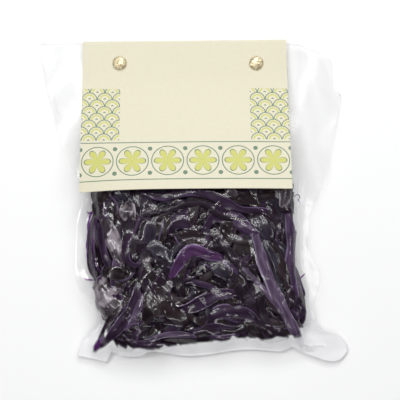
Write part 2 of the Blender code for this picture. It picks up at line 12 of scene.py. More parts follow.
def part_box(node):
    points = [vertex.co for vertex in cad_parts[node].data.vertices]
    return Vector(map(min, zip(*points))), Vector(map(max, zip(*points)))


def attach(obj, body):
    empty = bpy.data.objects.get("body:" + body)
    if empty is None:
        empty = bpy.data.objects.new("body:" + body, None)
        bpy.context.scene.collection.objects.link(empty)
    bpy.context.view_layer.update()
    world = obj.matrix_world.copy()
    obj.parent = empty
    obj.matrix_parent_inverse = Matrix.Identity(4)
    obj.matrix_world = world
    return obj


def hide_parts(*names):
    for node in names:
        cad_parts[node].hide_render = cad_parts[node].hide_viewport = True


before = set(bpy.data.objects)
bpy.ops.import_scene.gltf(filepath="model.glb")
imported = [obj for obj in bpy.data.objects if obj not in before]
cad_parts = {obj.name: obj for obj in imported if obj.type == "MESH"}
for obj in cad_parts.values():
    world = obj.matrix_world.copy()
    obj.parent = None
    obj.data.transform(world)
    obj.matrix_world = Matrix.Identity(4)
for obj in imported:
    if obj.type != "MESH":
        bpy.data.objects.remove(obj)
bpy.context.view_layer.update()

MM = 0.001

# The pressed block, as in the source of the solids: a rounded rectangle in plan with a domed front.
BLOCK_CENTRE = (3 * MM, -36 * MM)
BLOCK_HALF_WIDTH = 71 * MM
BLOCK_HALF_LENGTH = 68 * MM
BLOCK_CORNER_POWER = 5.5
BLOCK_LEAN = 8 * MM
BLOCK_LEANS = (52 * MM, 84 * MM)
LOWER_EDGE_HUMPS = [(7 * MM, 40 * MM, 42 * MM), (-6 * MM, -66 * MM, 22 * MM)]
HUMPS_GROW = (36 * MM, 100 * MM)
WELD_HEIGHT = 8 * MM
FRONT_DOME = 12 * MM
DOME_POWER = 4.0
UNDERSIDE = 1.05 * MM
RIM_DEPTH = 3.2 * MM
FLAT_SHARE = 0.72

# The pouch's welded margin, as in the source.
MARGIN_FALL = 15 * MM
MARGIN_LOW = 1.4 * MM
MARGIN_UNDER_CARD = 3 * MM
MARGIN_RISES = (-60 * MM, 50 * MM)
MARGIN_WAVE = 1 * MM
WAVE_STEPS = (6 * MM, 11 * MM)
WAVE_GROWS = (-90 * MM, 20 * MM)
BESIDE_CARD = 22 * MM
SOLID_FILM = 0.6 * MM
WELD_GAP = 0.3 * MM
FILM_CLEARANCE = 0.4 * MM

# The films as they show: thinner than their solids, on a grid that is finest over the bare cabbage.
FILM = 0.15 * MM
PLAN_COLUMNS = 48
PLAN_ROWS = 54
EVENING_ROUNDS = 1200
FRONT_FILM_GRID = (304, (204, 40))
BACK_FILM_GRID = (150, (96, 50))
CARD_FOOT_SHARE = 0.52
EDGE_HEIGHT = 2.6 * MM
EDGE_FALL = 9 * MM

# How a film settles over the strips.
TAUT_ROUNDS = 8
GROW_ROUNDS = 3
SOFT_ROUNDS = 8
LIFT_ROUNDS = 3
FILM_SLACK = 0.2 * MM
FAR_BELOW = -1.0

# The front film's own creases and folds over the cabbage; the folds are in millimetres.
WARP = 2.5 * MM
FOLD_SEED = 5
FOLD_COUNT = 130
FOLD_LENGTHS = (9, 14, 22, 32)
FOLD_WIDTHS = (1.6, 2.4)
FOLD_HEIGHTS = (0.3, 0.8)
FOLD_BEND = 35

# The creases that both films share in the margin, and the flap below the cabbage: milky, and whiter as a
# painted highlight where the folded film catches light.
MARGIN_CREASE = 0.3 * MM
FLAP_GROWS = (86 * MM, 100 * MM)
FLAP_HAZE_AND_HIGHLIGHT = 0.85

# The header card, as in the source.
CARD = 0.6 * MM
CARD_LEFT = -78.6 * MM
CARD_RIGHT = 70 * MM
CARD_TOP = 116.3 * MM
CARD_FRONT_FOOT = 1 * MM
CARD_FOOT_BOW = 0.8 * MM
CARD_TURN = math.radians(0.6)
CARD_BACK_FOOT = 14 * MM
STEP_UP_TO_CARD = (2 * MM, 13 * MM)
CARD_BEND_AT = 83 * MM
CARD_BEND_LENGTH = 5 * MM
CARD_SLOPE = 0.27
CARD_BACK_RISE = 1 * MM
CARD_DROOP = 8 * MM
CARD_DROOP_FROM = -28 * MM
CARD_COLUMNS = 60
FRONT_PANEL_ROWS = 50
FOLD_STEPS = 14
BACK_PANEL_ROWS = 24

# The card's print, in millimetres on the sheet.
LINE = 0.7
ROSETTE_PITCH = 24.77
ROSETTE_HEIGHT = 22.0
ROSETTE_RADIUS = 11.2
PETAL_LENGTH = 9.4
BAND_HALF = 14.5
DOT_HEIGHT = 9.5
DOT_RADIUS = 1.6
SCALE_PITCH = 11.0
SCALE_RISE = 5.5
SCALE_RADIUS = 5.2
SCALE_COLUMN = 27.5
SCALE_ROWS = (38.5, 80.0)
CARD_CREAM = (0.80, 0.76, 0.585)
CARD_SHADE = (0.75, 0.705, 0.54)
INK_GREEN = (0.095, 0.200, 0.125)
INK_YELLOW = (0.62, 0.62, 0.13)
INK_COVER = 0.9
UNPRINTED = 1000

# The brass rivets: side, place across the card, and seed of the dents.
RIVETS = (("left", -51.5 * MM, 41), ("right", 48 * MM, 42))
RIVET_Y = 98.6 * MM
RIVET_HEAD_RADIUS = 5.1 * MM
RIVET_HEAD_HEIGHT = 2 * MM
RIVET_HEAD_EDGE = 0.5 * MM
RIVET_SEAT_GAP = 0.3 * MM
RIVET_SHANK_RADIUS = 1.6 * MM
RIVET_FOOT_RADIUS = 3.6 * MM
RIVET_FOOT = (0.1 * MM, 0.7 * MM)
RIVET_SIDES = 64
DENT_DEPTH = 0.22 * MM
BRASS = (0.92, 0.80, 0.54)
DARK_BRASS = (0.42, 0.31, 0.14)

# The view of the photograph.
VIEW_ELEVATION = math.radians(80)
VIEW_DISTANCE = 0.76
VIEW_TARGET = (7 * MM, -2.7 * MM, 6 * MM)
LENS = 96.2

# The lights that the film mirrors: azimuth, elevation, size and radiance.
LIGHTS = {
    "key_box": (5, 56, (0.45, 0.22), 5),
    "low_box": (8, 38, (0.9, 0.2), 5.5),
    "left_box": (-80, 58, (0.26, 0.2), 12),
    "right_box": (85, 48, (0.35, 0.25), 4),
    "front_box": (175, 50, (0.5, 0.12), 6),
    "top_strip": (-20, 66, (0.4, 0.025), 23),
    "left_strip": (-60, 68, (0.4, 0.025), 23),
    "low_strip": (12, 46, (0.6, 0.02), 23),
}

# The wavy edges of the pouch, in millimetres, as in the source.
LEFT_EDGE = [
    (-78.6, -112.4), (-73.9, -102), (-63, -91.6), (-62.3, -84.7), (-74.5, -70.7), (-80.6, -56), (-81, -31),
    (-80, -14), (-75.8, -4.3), (-76.7, 6.5), (-87, 25), (-98.6, 58), (-108.3, 97), (-110.2, 114),
]
RIGHT_EDGE = [
    (104.5, -114.8), (110.2, -108.3), (106.5, -101), (99.5, -96.5), (92.2, -96.5), (88.1, -90.2), (87, -77),
    (92.3, -57.3), (84.8, -39.5), (84.4, -25), (86, -12), (98, 16), (102.8, 36), (109.4, 72.3), (104.4, 79),
    (103.4, 98), (99, 104),
]
BOTTOM_EDGE = [
    (-78.6, -112.4), (-67.5, -114.4), (-57.7, -116.2), (-54.4, -109.6), (-47.4, -112.4), (-34.8, -113),
    (-26.5, -109.6), (-3.5, -112.4), (10.5, -111.7), (38.4, -108), (62.8, -109.3), (70.5, -106.2),
    (78, -109.6), (89, -113.8), (98.2, -116.3), (104.5, -114.8),
]
TOP_EDGE = [(-110.2, 114), (-20, 114), (70, 114), (80.2, 112.4), (91, 107.8), (99, 104)]

# Colours of the cooked leaf: skin, and cut edge or pale grey painted reflection of the film's glare, of each
# kind of strip.
PLUM = ((0.012, 0.005, 0.012), (0.06, 0.037, 0.074))
DARK_VIOLET = ((0.021, 0.008, 0.026), (0.12, 0.075, 0.16))
VIOLET = ((0.042, 0.018, 0.055), (0.28, 0.205, 0.35))
MAGENTA = ((0.046, 0.012, 0.058), (0.2, 0.125, 0.26))
PALE = ((0.075, 0.045, 0.092), (0.38, 0.3, 0.44))
# The next colour's pale grey is a painted reflection: the film's glare over the leaf, painted into its
# colour.
LEAF_WITH_PAINTED_GLARE = ((0.027, 0.017, 0.025), (0.36, 0.31, 0.35))
BRIGHT = ((0.1, 0.018, 0.15), (0.24, 0.1, 0.32))
SLATE = ((0.02, 0.015, 0.028), (0.075, 0.064, 0.095))
THREAD = ((0.08, 0.05, 0.105), (0.18, 0.13, 0.22))
UMBER = ((0.016, 0.008, 0.011), (0.06, 0.042, 0.056))

# The strips that stand out on the front: line, width, lift and thickness in millimetres, and colours.
FRONT_STRIPS = [
    ([(-14, -61), (-8, -51), (-1, -42), (5, -41), (14, -44), (23, -46)], 9, 1.8, 4, MAGENTA),
    ([(43, -24), (47, -36), (51, -50), (56, -64), (62, -77), (68, -88), (73, -97), (78, -106)], 9, 2.2, 3,
     PALE),
    ([(36, -52), (45, -61), (54, -71), (61, -80), (67, -90), (73, -101)], 4, 1.8, 2.5, PALE),
    ([(-38, 3), (-22, -3), (-11, -2), (0, 1), (7, 0), (17, -3), (27, -8), (37, -12), (56, -12)], 7, 1.4, 4.5,
     DARK_VIOLET),
    ([(-36, -10), (-24, -12), (-11, -11), (0, -8), (9, -8), (18, -15), (25, -18), (43, -20)], 5, 1.2, 4,
     PLUM),
    ([(-62, -13), (-58, -24), (-53, -35), (-50, -44), (-47, -52)], 11, 1, 3.5, LEAF_WITH_PAINTED_GLARE),
    ([(-64, -20), (-62, -32), (-59, -44), (-54, -55)], 6, 0.8, 3, DARK_VIOLET),
    ([(-46, -7), (-43, -14), (-40, -21)], 11, 1.2, 3, LEAF_WITH_PAINTED_GLARE),
    ([(-33, -11), (-37, -22), (-43, -36), (-43, -47), (-37, -51), (-31, -45)], 5, 0.7, 3, DARK_VIOLET),
    ([(-27, -20), (-28, -30), (-29, -38)], 10, 0.9, 3, SLATE),
    ([(-64, -58), (-59, -67), (-56, -77), (-55, -88)], 19, 0.9, 2.5, LEAF_WITH_PAINTED_GLARE),
    ([(-68, -64), (-60, -68), (-52, -69), (-46, -68)], 7, 1.2, 2.5, LEAF_WITH_PAINTED_GLARE),
    ([(-66, -74), (-59, -78), (-52, -79)], 7, 1.3, 2.5, LEAF_WITH_PAINTED_GLARE),
    ([(-61, -57), (-52, -56), (-43, -58)], 9, 1, 3, UMBER),
    ([(-36, -64), (-38, -75), (-43, -84), (-50, -94), (-57, -102), (-63, -107)], 8, 1.6, 3.5, DARK_VIOLET),
    ([(-33, -70), (-36, -82), (-40, -90), (-45, -97)], 5, 1.4, 3, PALE),
    ([(-34, -90), (-28, -81), (-18, -78), (-8, -84), (0, -91)], 17, 1, 3, UMBER),
    ([(-26, -75), (-24, -81), (-25, -87)], 4, 2, 2.5, LEAF_WITH_PAINTED_GLARE),
    ([(-10, -81), (0, -80), (10, -76), (20, -72), (32, -70)], 9, 1.3, 4, DARK_VIOLET),
    ([(13, -88), (20, -84), (31, -84), (40, -86), (48, -92)], 11, 1.1, 4, DARK_VIOLET),
    ([(-65, -14), (-67.5, -26), (-68, -38), (-66, -48), (-62, -56)], 2.6, 0.9, 2, MAGENTA),
    ([(-66, -8), (-69, -22), (-70, -36), (-69.5, -50), (-66, -60)], 6, -1, 3.5, DARK_VIOLET),
    ([(67, -9), (70, -22), (71, -35), (70, -50), (72, -65), (74, -76)], 8, 1.1, 3, VIOLET),
    ([(56, -34), (61, -45), (66, -58), (69, -70)], 8, 1, 3, UMBER),
    ([(16, -27), (21, -35), (28, -42), (32, -48), (36, -57)], 6, 1.2, 3, PLUM),
    ([(46, -17), (52, -25), (57, -34)], 9, 0.8, 3, SLATE),
    ([(14, -49), (20, -54), (27, -59)], 9, 1.2, 3, SLATE),
    ([(2, -28), (-5, -22), (-12, -24), (-14, -31)], 7, 1, 3.5, DARK_VIOLET),
    ([(25, 4), (32, -3), (43, -4), (54, -1), (67, 1)], 9, 0.8, 3, UMBER),
    ([(65, -12), (67, -3), (69, 5)], 9, 1.3, 3, LEAF_WITH_PAINTED_GLARE),
    ([(24, 5), (29, 0), (35, -5)], 7, 1.8, 2.5, LEAF_WITH_PAINTED_GLARE),
    ([(-63, 8), (-62, 0), (-58, -6)], 12, 1.6, 3.5, UMBER),
    ([(-48, 8), (-47, 0), (-44, -6)], 11, 1.6, 3.5, SLATE),
    ([(30, -12), (33, -22), (42, -28), (50, -27)], 5, 1.4, 3, VIOLET),
    ([(-30, -103), (-18, -99), (-6, -98), (5, -100)], 4, 1, 2.5, PALE),
    ([(-48, -108), (-36, -105), (-24, -106), (-12, -105)], 6, 0.5, 3, DARK_VIOLET),
    ([(12, -99), (22, -101), (34, -98)], 4, 0.9, 2.5, VIOLET),
    ([(50, -92), (58, -98), (66, -100)], 10, 0.5, 3, PLUM),
    ([(-59, -98), (-63, -104), (-66.5, -110)], 5, 0, 3, BRIGHT),
    ([(-57, -90), (-61, -98), (-64, -105)], 4, 0.2, 3, DARK_VIOLET),
    ([(-52, -96), (-47, -103), (-39, -108)], 9, 0, 3, PLUM),
]

# Thin slivers between the films in the margin: line and width in millimetres.
MARGIN_SLIVERS = [
    ([(73.5, -1), (76, 1), (78, -1), (76.5, -3), (78.5, -5)], 0.8),
    ([(73.6, -23.5), (74.6, -26), (73.8, -30)], 1.4),
    ([(73, -63), (77, -59), (81, -55)], 1.0),
    ([(-74, -11), (-70, -13), (-65, -12)], 0.8),
    ([(-73, -13.5), (-69, -11.5), (-65, -15)], 0.8),
    ([(-75.5, -58), (-72, -59.5), (-67, -60)], 1.4),
    ([(-66, -22), (-71, -28), (-72.5, -36), (-70, -43), (-67, -48)], 2.0),
    ([(-67, -25), (-70.5, -31), (-71, -38), (-68, -45)], 1.8),
    ([(-67, -8), (-71, -15), (-72, -24), (-70, -32)], 1.6),
    ([(-67, -30), (-71, -36), (-72, -44), (-68, -52)], 1.5),
    ([(78, -105), (83, -106.3), (88, -106)], 0.9),
    ([(86, -105.5), (90, -105.8), (94, -105.2)], 0.7),
]

# How a strip of leaf is built.
SECTION_SIDES = 12
LEAF_SIDES = 26
LEAF_FROM = 8 * MM
SECTION_POWER = 0.8
STATION_STEP = 1.6 * MM
TIP_WIDTH = 0.12
BULGE = 0.12
VEIN_DEPTH = 0.15 * MM
VEIN_STEP = 1.4 * MM
CUPPED = (-0.12, 0.2)
END_DIVE = 2.5 * MM
PRESSED = 0.75

# The lumps of the face that the film presses: height in millimetres, size and seed.
LUMPS = ((1.2, 15 * MM, 61), (0.4, 7 * MM, 62))

# The rings of the block's core: radius, and from 1 on its front face to -1 on its back face.
CORE_SIDES = 96
CORE_RINGS = [
    (0.02, 1), (0.3, 1), (0.6, 1), (0.8, 1), (0.9, 1), (0.95, 1), (0.98, 0.6), (0.98, -0.6), (0.84, -1),
    (0.5, -1), (0.02, -1),
]
CORE_DOME = FRONT_DOME - 2.6 * MM

# Grids with one random line in each cell: columns, rows, reach, and shortest and longest step.
STRIP_SEED = 11
LEAF_GRID = (7, 7, 0.95, (7 * MM, 12 * MM))
SHRED_GRID = (10, 10, 0.97, (8 * MM, 18 * MM))
THREAD_GRID = (8, 8, 0.97, (4 * MM, 10 * MM))
BACK_GRID = (12, 12, 0.93, (7 * MM, 14 * MM))
LINE_REACH = 0.99
LINE_BEND = 0.8

# The strips along the rim, the ragged ends all round, and how the cabbage reaches further at the foot.
RIM_STRIPS = 60
RAGGED_ENDS = 70
RAGGED_FOOT = 0.075
FOOT_GROWS = (60 * MM, 98 * MM)

# Random strips: ranges of width, lift and thickness in millimetres, and colours with their weights.
LEAVES = ((10, 16), (-2, -0.6), (2, 3), ((PLUM, 6), (DARK_VIOLET, 2), (SLATE, 2), (UMBER, 5)))
FRONT_SHREDS = ((4, 8), (-1.8, 0.2), (2.2, 3.6),
                ((PLUM, 12), (DARK_VIOLET, 4), (VIOLET, 1), (SLATE, 3), (UMBER, 6)))
BACK_SHREDS = ((4, 10), (0.9, 2.6), (1.6, 3),
               ((PLUM, 6), (DARK_VIOLET, 4), (VIOLET, 2), (SLATE, 2), (UMBER, 3)))
RIM_SHREDS = ((2.5, 5), (-2, 3.5), (1.6, 3), ((PLUM, 6), (DARK_VIOLET, 4), (VIOLET, 1), (UMBER, 3)))
END_SHREDS = ((3, 9), (-1.8, 0.8), (1.6, 3), ((PLUM, 7), (DARK_VIOLET, 5), (VIOLET, 2), (UMBER, 4)))
THREADS = ((0.8, 1.8), (0, 0.9), (0.8, 1.4))


def smoothstep(low, high, value):
    t = np.clip((value - low) / (high - low), 0, 1)
    return t * t * (3 - 2 * t)


def resample(grid, places):
    """Catmull-Rom resampling of a grid's first axis."""
    i = np.clip(np.floor(places).astype(int), 0, len(grid) - 2)
    t = places - i
    weights = 0.5 * np.stack([
        -t + 2 * t**2 - t**3, 2 - 5 * t**2 + 3 * t**3, t + 4 * t**2 - 3 * t**3, -(t**2) + t**3,
    ])
    wide = np.concatenate([2 * grid[:1] - grid[1:2], grid, 2 * grid[-1:] - grid[-2:-1]])
    return sum(weights[k][:, None, None] * wide[i + k] for k in range(4))


def smooth_curve(points, count):
    """count points at even spacing along a Catmull-Rom curve through points."""
    knots = np.array(points, float)[:, None]
    last = len(knots) - 1
    fine = resample(knots, np.linspace(0, last, 16 * last + 1))[:, 0]
    along = np.concatenate([[0], np.cumsum(np.linalg.norm(np.diff(fine, axis=0), axis=1))])
    even = np.linspace(0, along[-1], count)
    return np.column_stack([np.interp(even, along, fine[:, axis]) for axis in range(fine.shape[1])])


def lattice_values(x, y, scale, seed):
    """Random values at the four corners of each point's cell, and the point's place in the cell."""
    table = np.random.default_rng(seed).uniform(-1, 1, (128, 128))
    u, v = x / scale + 500, y / scale + 500
    i, j = np.floor(u).astype(int), np.floor(v).astype(int)
    corners = [table[(i + a) % 128, (j + b) % 128] for a, b in ((0, 0), (1, 0), (0, 1), (1, 1))]
    return corners, u - i, v - j


def soft_noise(x, y, scale, seed):
    """Smooth noise between -1 and 1."""
    (a, b, c, d), u, v = lattice_values(x, y, scale, seed)
    u, v = smoothstep(0, 1, u), smoothstep(0, 1, v)
    return (a * (1 - u) + b * u) * (1 - v) + (c * (1 - u) + d * u) * v


def facet_noise(x, y, scale, seed):
    """Flat triangular facets that meet in sharp creases, between -1 and 1."""
    (a, b, c, d), u, v = lattice_values(x + 0.5 * y, y, scale, seed)
    lower = a + (b - a) * u + (c - a) * v
    upper = d + (c - d) * (1 - u) + (b - d) * (1 - v)
    return np.where(u + v < 1, lower, upper)


def block_middle(y):
    return BLOCK_CENTRE[0] + BLOCK_LEAN * smoothstep(*BLOCK_LEANS, -y)


def lower_edge_shift(x, y):
    """How far the block's lower part is pushed up at x: in at the right, and out at the left corner."""
    shift = sum(height * np.exp(-(((x - middle) / width) ** 2)) for height, middle, width in LOWER_EDGE_HUMPS)
    return shift * smoothstep(*HUMPS_GROW, -y)


def block_radius(x, y):
    """0 at the middle of the block and 1 on its outline."""
    across = np.abs((x - block_middle(y)) / BLOCK_HALF_WIDTH) ** BLOCK_CORNER_POWER
    y = y - lower_edge_shift(x, y)
    along = np.abs((y - BLOCK_CENTRE[1]) / BLOCK_HALF_LENGTH) ** BLOCK_CORNER_POWER
    return (across + along) ** (1 / BLOCK_CORNER_POWER)


def outline_point(angle, radius):
    c, s = math.cos(angle), math.sin(angle)
    power = 2 / BLOCK_CORNER_POWER
    y = BLOCK_CENTRE[1] + radius * BLOCK_HALF_LENGTH * math.copysign(abs(s) ** power, s)
    x = float(block_middle(y)) + radius * BLOCK_HALF_WIDTH * math.copysign(abs(c) ** power, c)
    return x, y + float(lower_edge_shift(x, y))


def reach_at(y):
    """How much further out the cabbage's rim lies at y, towards the pouch's bottom edge."""
    return 1 + RAGGED_FOOT * smoothstep(*FOOT_GROWS, -y)


def dome(x, y):
    """The front's bulge, from 1 in the middle to 0 at the rim."""
    return np.sqrt(np.clip(1 - (block_radius(x, y) / reach_at(y)) ** DOME_POWER, 0, 1))


def card_back_height(y):
    share = (y - CARD_BACK_FOOT) / (CARD_TOP - CARD_BACK_FOOT)
    return CARD / 2 + CARD_BACK_RISE * np.clip(share, 0, 1)


def back_floor(y):
    """The lowest that the pouch reaches: the resting plane, or just over the card's back panel."""
    return smoothstep(*STEP_UP_TO_CARD, y) * (card_back_height(y) + CARD / 2 + FILM_CLEARANCE)


def weld_surface(x, y):
    """Height of the plane where the two films meet."""
    outside = np.maximum(block_radius(x, y) - 1, 0) * BLOCK_HALF_LENGTH
    near = np.exp(-((outside / MARGIN_FALL) ** 2))
    low = MARGIN_LOW + (MARGIN_UNDER_CARD - MARGIN_LOW) * smoothstep(*MARGIN_RISES, y)
    left_of_card = smoothstep(-CARD_LEFT, -CARD_LEFT + BESIDE_CARD, -x)
    right_of_card = smoothstep(CARD_RIGHT, CARD_RIGHT + BESIDE_CARD, x)
    wave = MARGIN_WAVE * np.sin(x / WAVE_STEPS[0] - y / WAVE_STEPS[1]) * smoothstep(*WAVE_GROWS, y)
    wave = wave * np.maximum(left_of_card, right_of_card)
    surface = low + (WELD_HEIGHT - low) * near + wave * (1 - near)
    return np.maximum(surface, back_floor(y) + SOLID_FILM + WELD_GAP)


def underside(x, y):
    rise = smoothstep(FLAT_SHARE, 1.0, block_radius(x, y))
    low = UNDERSIDE + back_floor(y)
    return low + (weld_surface(x, y) - RIM_DEPTH - low) * rise


def front_height(x, y):
    return weld_surface(x, y) + FRONT_DOME * dome(x, y)


def pressed_height(x, y):
    """The lumpy face into which the film presses the front strips."""
    near_edge = smoothstep(1.0, 0.8, block_radius(x, y))
    lumps = sum(height * soft_noise(x, y, size, seed) for height, size, seed in LUMPS)
    return front_height(x, y) + (0.3 + 0.7 * near_edge) * lumps * MM


class Shape:
    """Vertices, faces and colours of a piece that is put together from many strips."""

    def __init__(self):
        self.vertices, self.faces, self.colours, self.count = [], [], [], 0

    def add(self, vertices, faces, colours):
        self.vertices.append(vertices)
        self.colours.append(colours)
        self.faces += [[corner + self.count for corner in face] for face in faces]
        self.count += len(vertices)


def grid_faces(rows, columns, closed):
    """Quads between neighbouring rows, which close on themselves where asked."""
    faces = []
    for i in range(rows - 1):
        for k in range(columns if closed else columns - 1):
            a, b = i * columns + k, i * columns + (k + 1) % columns
            faces.append((a, b, b + columns, a + columns))
    return faces


def flipped(faces, first=0):
    """The same faces seen from behind, with their corners counted from first."""
    return [tuple(first + corner for corner in face[::-1]) for face in faces]


def border(rows, columns):
    """The corners along a grid's border, once around."""
    loop = list(range(columns)) + [r * columns + columns - 1 for r in range(1, rows)]
    loop += [(rows - 1) * columns + c for c in range(columns - 2, -1, -1)]
    loop += [r * columns for r in range(rows - 2, 0, -1)]
    return loop


def rounded(part):
    """One axis of a strip's section, between an ellipse's and a rectangle's."""
    return np.sign(part) * np.abs(part) ** SECTION_POWER


def leaf_colours(rng, colours, x, y, side, across, veins):
    """Colours of a strip: its skin with streaks, its paler cut edge, and on the glared leaf pale patches of
    painted reflection of the film's glare.
    """
    skin, cut = np.array(colours[0]), np.array(colours[1])
    edge = smoothstep(0.75, 1.0, np.abs(across))
    streak = soft_noise(x + 3 * side, y, 5 * MM, rng.randrange(1000))
    streak = 0.5 + 0.3 * streak + 0.35 * veins
    mix = np.clip(edge * (0.35 + 0.65 * streak) + 0.12 * streak, 0, 1)
    if colours is LEAF_WITH_PAINTED_GLARE:
        # Pale grey patches painted as a reflection of the film's glare over the leaf.
        painted_glare = soft_noise(x, y, 6 * MM, 71) + 0.8 * soft_noise(x + y, 4 * (x - y), 8 * MM, 72)
        mix = np.maximum(mix, 0.8 * smoothstep(-0.1, 0.7, painted_glare))
    mix = mix[..., None]
    return (skin * (1 - mix) + cut * mix) * np.clip(0.5 + streak[..., None], 0.2, 2)


def lay_strip(shape, rng, points, width, lift, surface, thickness, colours, roll=0.35, wave=0.5 * MM,
              end_rise=-END_DIVE):
    """Adds one strip of leaf: a flat section that tapers, rolls and waves along its line on the surface."""
    sides = SECTION_SIDES if width < LEAF_FROM else LEAF_SIDES
    length = sum(math.dist(a, b) for a, b in zip(points, points[1:]))
    stations = max(8, int(length / STATION_STEP))
    line = smooth_curve(points, stations)
    forward = np.gradient(line, axis=0)
    forward /= np.linalg.norm(forward, axis=1, keepdims=True)
    t = np.linspace(0, 1, stations)[:, None]
    taper = TIP_WIDTH + (1 - TIP_WIDTH) * np.sin(np.pi * (0.02 + 0.96 * t)) ** 0.5
    taper = taper * (1 + BULGE * np.sin(rng.uniform(0, 6) + t * length / (4 * MM)))
    end = end_rise * (2 * t - 1) ** 6
    angle = 2 * np.pi * (np.arange(sides) + 0.5) / sides
    across, up = rounded(np.cos(angle)[None]), rounded(np.sin(angle)[None])
    veins = soft_noise(across * width / 2 + 0 * t, t * length / 7, VEIN_STEP, rng.randrange(1000))
    lean = roll * np.sin(rng.uniform(0, 2 * math.pi) + t * rng.uniform(2, 6))
    flat_x, flat_z = across * width / 2 * taper, up * thickness / 2 * taper
    flat_z = flat_z + rng.uniform(*CUPPED) * width * across**2 * taper + VEIN_DEPTH * veins * (up > 0)
    side = flat_x * np.cos(lean) - flat_z * np.sin(lean)
    rise = flat_x * np.sin(lean) + flat_z * np.cos(lean)
    x = line[:, :1] - forward[:, 1:] * side
    y = line[:, 1:] + forward[:, :1] * side
    bob = wave * np.sin(rng.uniform(0, 2 * math.pi) + t * length / (7 * MM)) + end
    proud = lift + rise + bob
    proud = np.where(proud > 0, PRESSED * proud, proud)
    z = np.maximum(surface(x, y) + proud, underside(x, y) + 0.1 * MM)
    shades = leaf_colours(rng, colours, x, y, side, across, veins)
    vertices = np.stack([x, y, z], axis=-1).reshape(-1, 3)
    faces = grid_faces(stations, sides, True)
    last = (stations - 1) * sides
    caps = [range(sides)[::-1], range(last, last + sides)]
    shape.add(vertices, faces + caps, shades.reshape(-1, 3))


def drawn_sizes(rng, ranges):
    """Width, lift and thickness, drawn in this order."""
    return [rng.uniform(*span) * MM for span in ranges]


def lay_random_strip(shape, rng, line, kind, surface, **form):
    """Adds a strip along the line, with colours and sizes drawn from its kind."""
    colours, weights = zip(*kind[3])
    chosen = rng.choices(colours, weights)[0]
    width, lift, thickness = drawn_sizes(rng, kind[:3])
    lay_strip(shape, rng, line, width, lift, surface, thickness, chosen, **form)


def bent_line(x, y, heading, step, bend):
    """Four points along an arc through (x, y)."""
    turns = [heading + bend * k for k in (-1, 0, 1)]
    line = [(x - 1.5 * step * math.cos(heading), y - 1.5 * step * math.sin(heading))]
    for turn in turns:
        line.append((line[-1][0] + step * math.cos(turn), line[-1][1] + step * math.sin(turn)))
    return line


def scattered_lines(rng, across, along, reach, steps):
    """Bent lines with random headings, one for each cell of a grid over the block."""
    lines = []
    for i, j in np.ndindex(across, along):
        u = (2 * (i + rng.uniform(0, 1)) / across - 1) * reach
        v = (2 * (j + rng.uniform(0, 1)) / along - 1) * reach
        y = BLOCK_CENTRE[1] + v * BLOCK_HALF_LENGTH
        x = float(block_middle(y)) + u * BLOCK_HALF_WIDTH
        step = rng.uniform(*steps)
        while True:
            heading, bend = rng.uniform(0, 2 * math.pi), rng.uniform(-LINE_BEND, LINE_BEND)
            line = bent_line(x, y, heading, step, bend)
            if max(float(block_radius(*point)) for point in line) < LINE_REACH:
                break
            x += (float(block_middle(y)) - x) / 25
            y += (BLOCK_CENTRE[1] - y) / 25
        lines.append(line)
    return lines


def add_to_scene(name, data):
    obj = bpy.data.objects.new(name, data)
    bpy.context.scene.collection.objects.link(obj)
    return obj


def new_object(name, vertices, faces, material):
    """A smooth mesh object from an array of places and a list of faces."""
    mesh = bpy.data.meshes.new(name)
    mesh.from_pydata(vertices.tolist(), [], faces)
    mesh.shade_smooth()
    mesh.materials.append(material)
    return add_to_scene(name, mesh)


def add_colours(mesh, name, colours):
    layer = mesh.color_attributes.new(name, "FLOAT_COLOR", "POINT")
    values = np.concatenate([colours, np.ones((len(colours), 1))], axis=1)
    layer.data.foreach_set("color", values.ravel())


def add_shape(name, shape, material):
    obj = new_object(name, np.vstack(shape.vertices), shape.faces, material)
    add_colours(obj.data, "leaf_colour", np.vstack(shape.colours))
    return obj


def foot_reach(angle):
    """How much further the cabbage reaches towards the pouch's bottom edge."""
    return 1 + RAGGED_FOOT * max(-math.sin(angle), 0)


def add_core(shape):
    """The dark inside of the block, seen only between the strips."""
    angles = [2 * math.pi * (i + 0.5) / CORE_SIDES for i in range(CORE_SIDES)]
    rings = []
    for radius, face in CORE_RINGS:
        x, y = np.array([outline_point(angle, radius * foot_reach(angle)) for angle in angles]).T
        if face > 0:
            z = weld_surface(x, y) - (1.5 - face) * MM + CORE_DOME * dome(x, y)
        else:
            z = underside(x, y) + (1 + face) * 3 * MM + 2 * MM
        rings.append(np.column_stack([x, y, z]))
    faces = flipped(grid_faces(len(rings), CORE_SIDES, True))
    vertices = np.vstack(rings)
    shape.add(vertices, faces, np.tile(PLUM[0], (len(vertices), 1)))


def rim_line(rng, i):
    """A line along the rim, anywhere but at the foot."""
    start = math.pi * (1.2 * (i + rng.uniform(-0.4, 0.4)) / RIM_STRIPS - 0.1)
    sweep, radius = rng.uniform(0.1, 0.3), rng.uniform(0.93, 0.98) * foot_reach(start)
    return [outline_point(start + sweep * t / 4, radius + rng.uniform(-0.03, 0.02)) for t in range(5)]


def ragged_line(rng, i):
    """A line that runs out over the rim."""
    start = 2 * math.pi * (i + rng.uniform(-0.4, 0.4)) / RAGGED_ENDS
    turn, tip = rng.uniform(-0.12, 0.12), rng.uniform(0.94, 1.0) * foot_reach(start)
    return [outline_point(start + turn * t / 3, 0.84 + (tip - 0.84) * t / 3) for t in range(4)]


def in_metres(points):
    return [(x * MM, y * MM) for x, y in points]


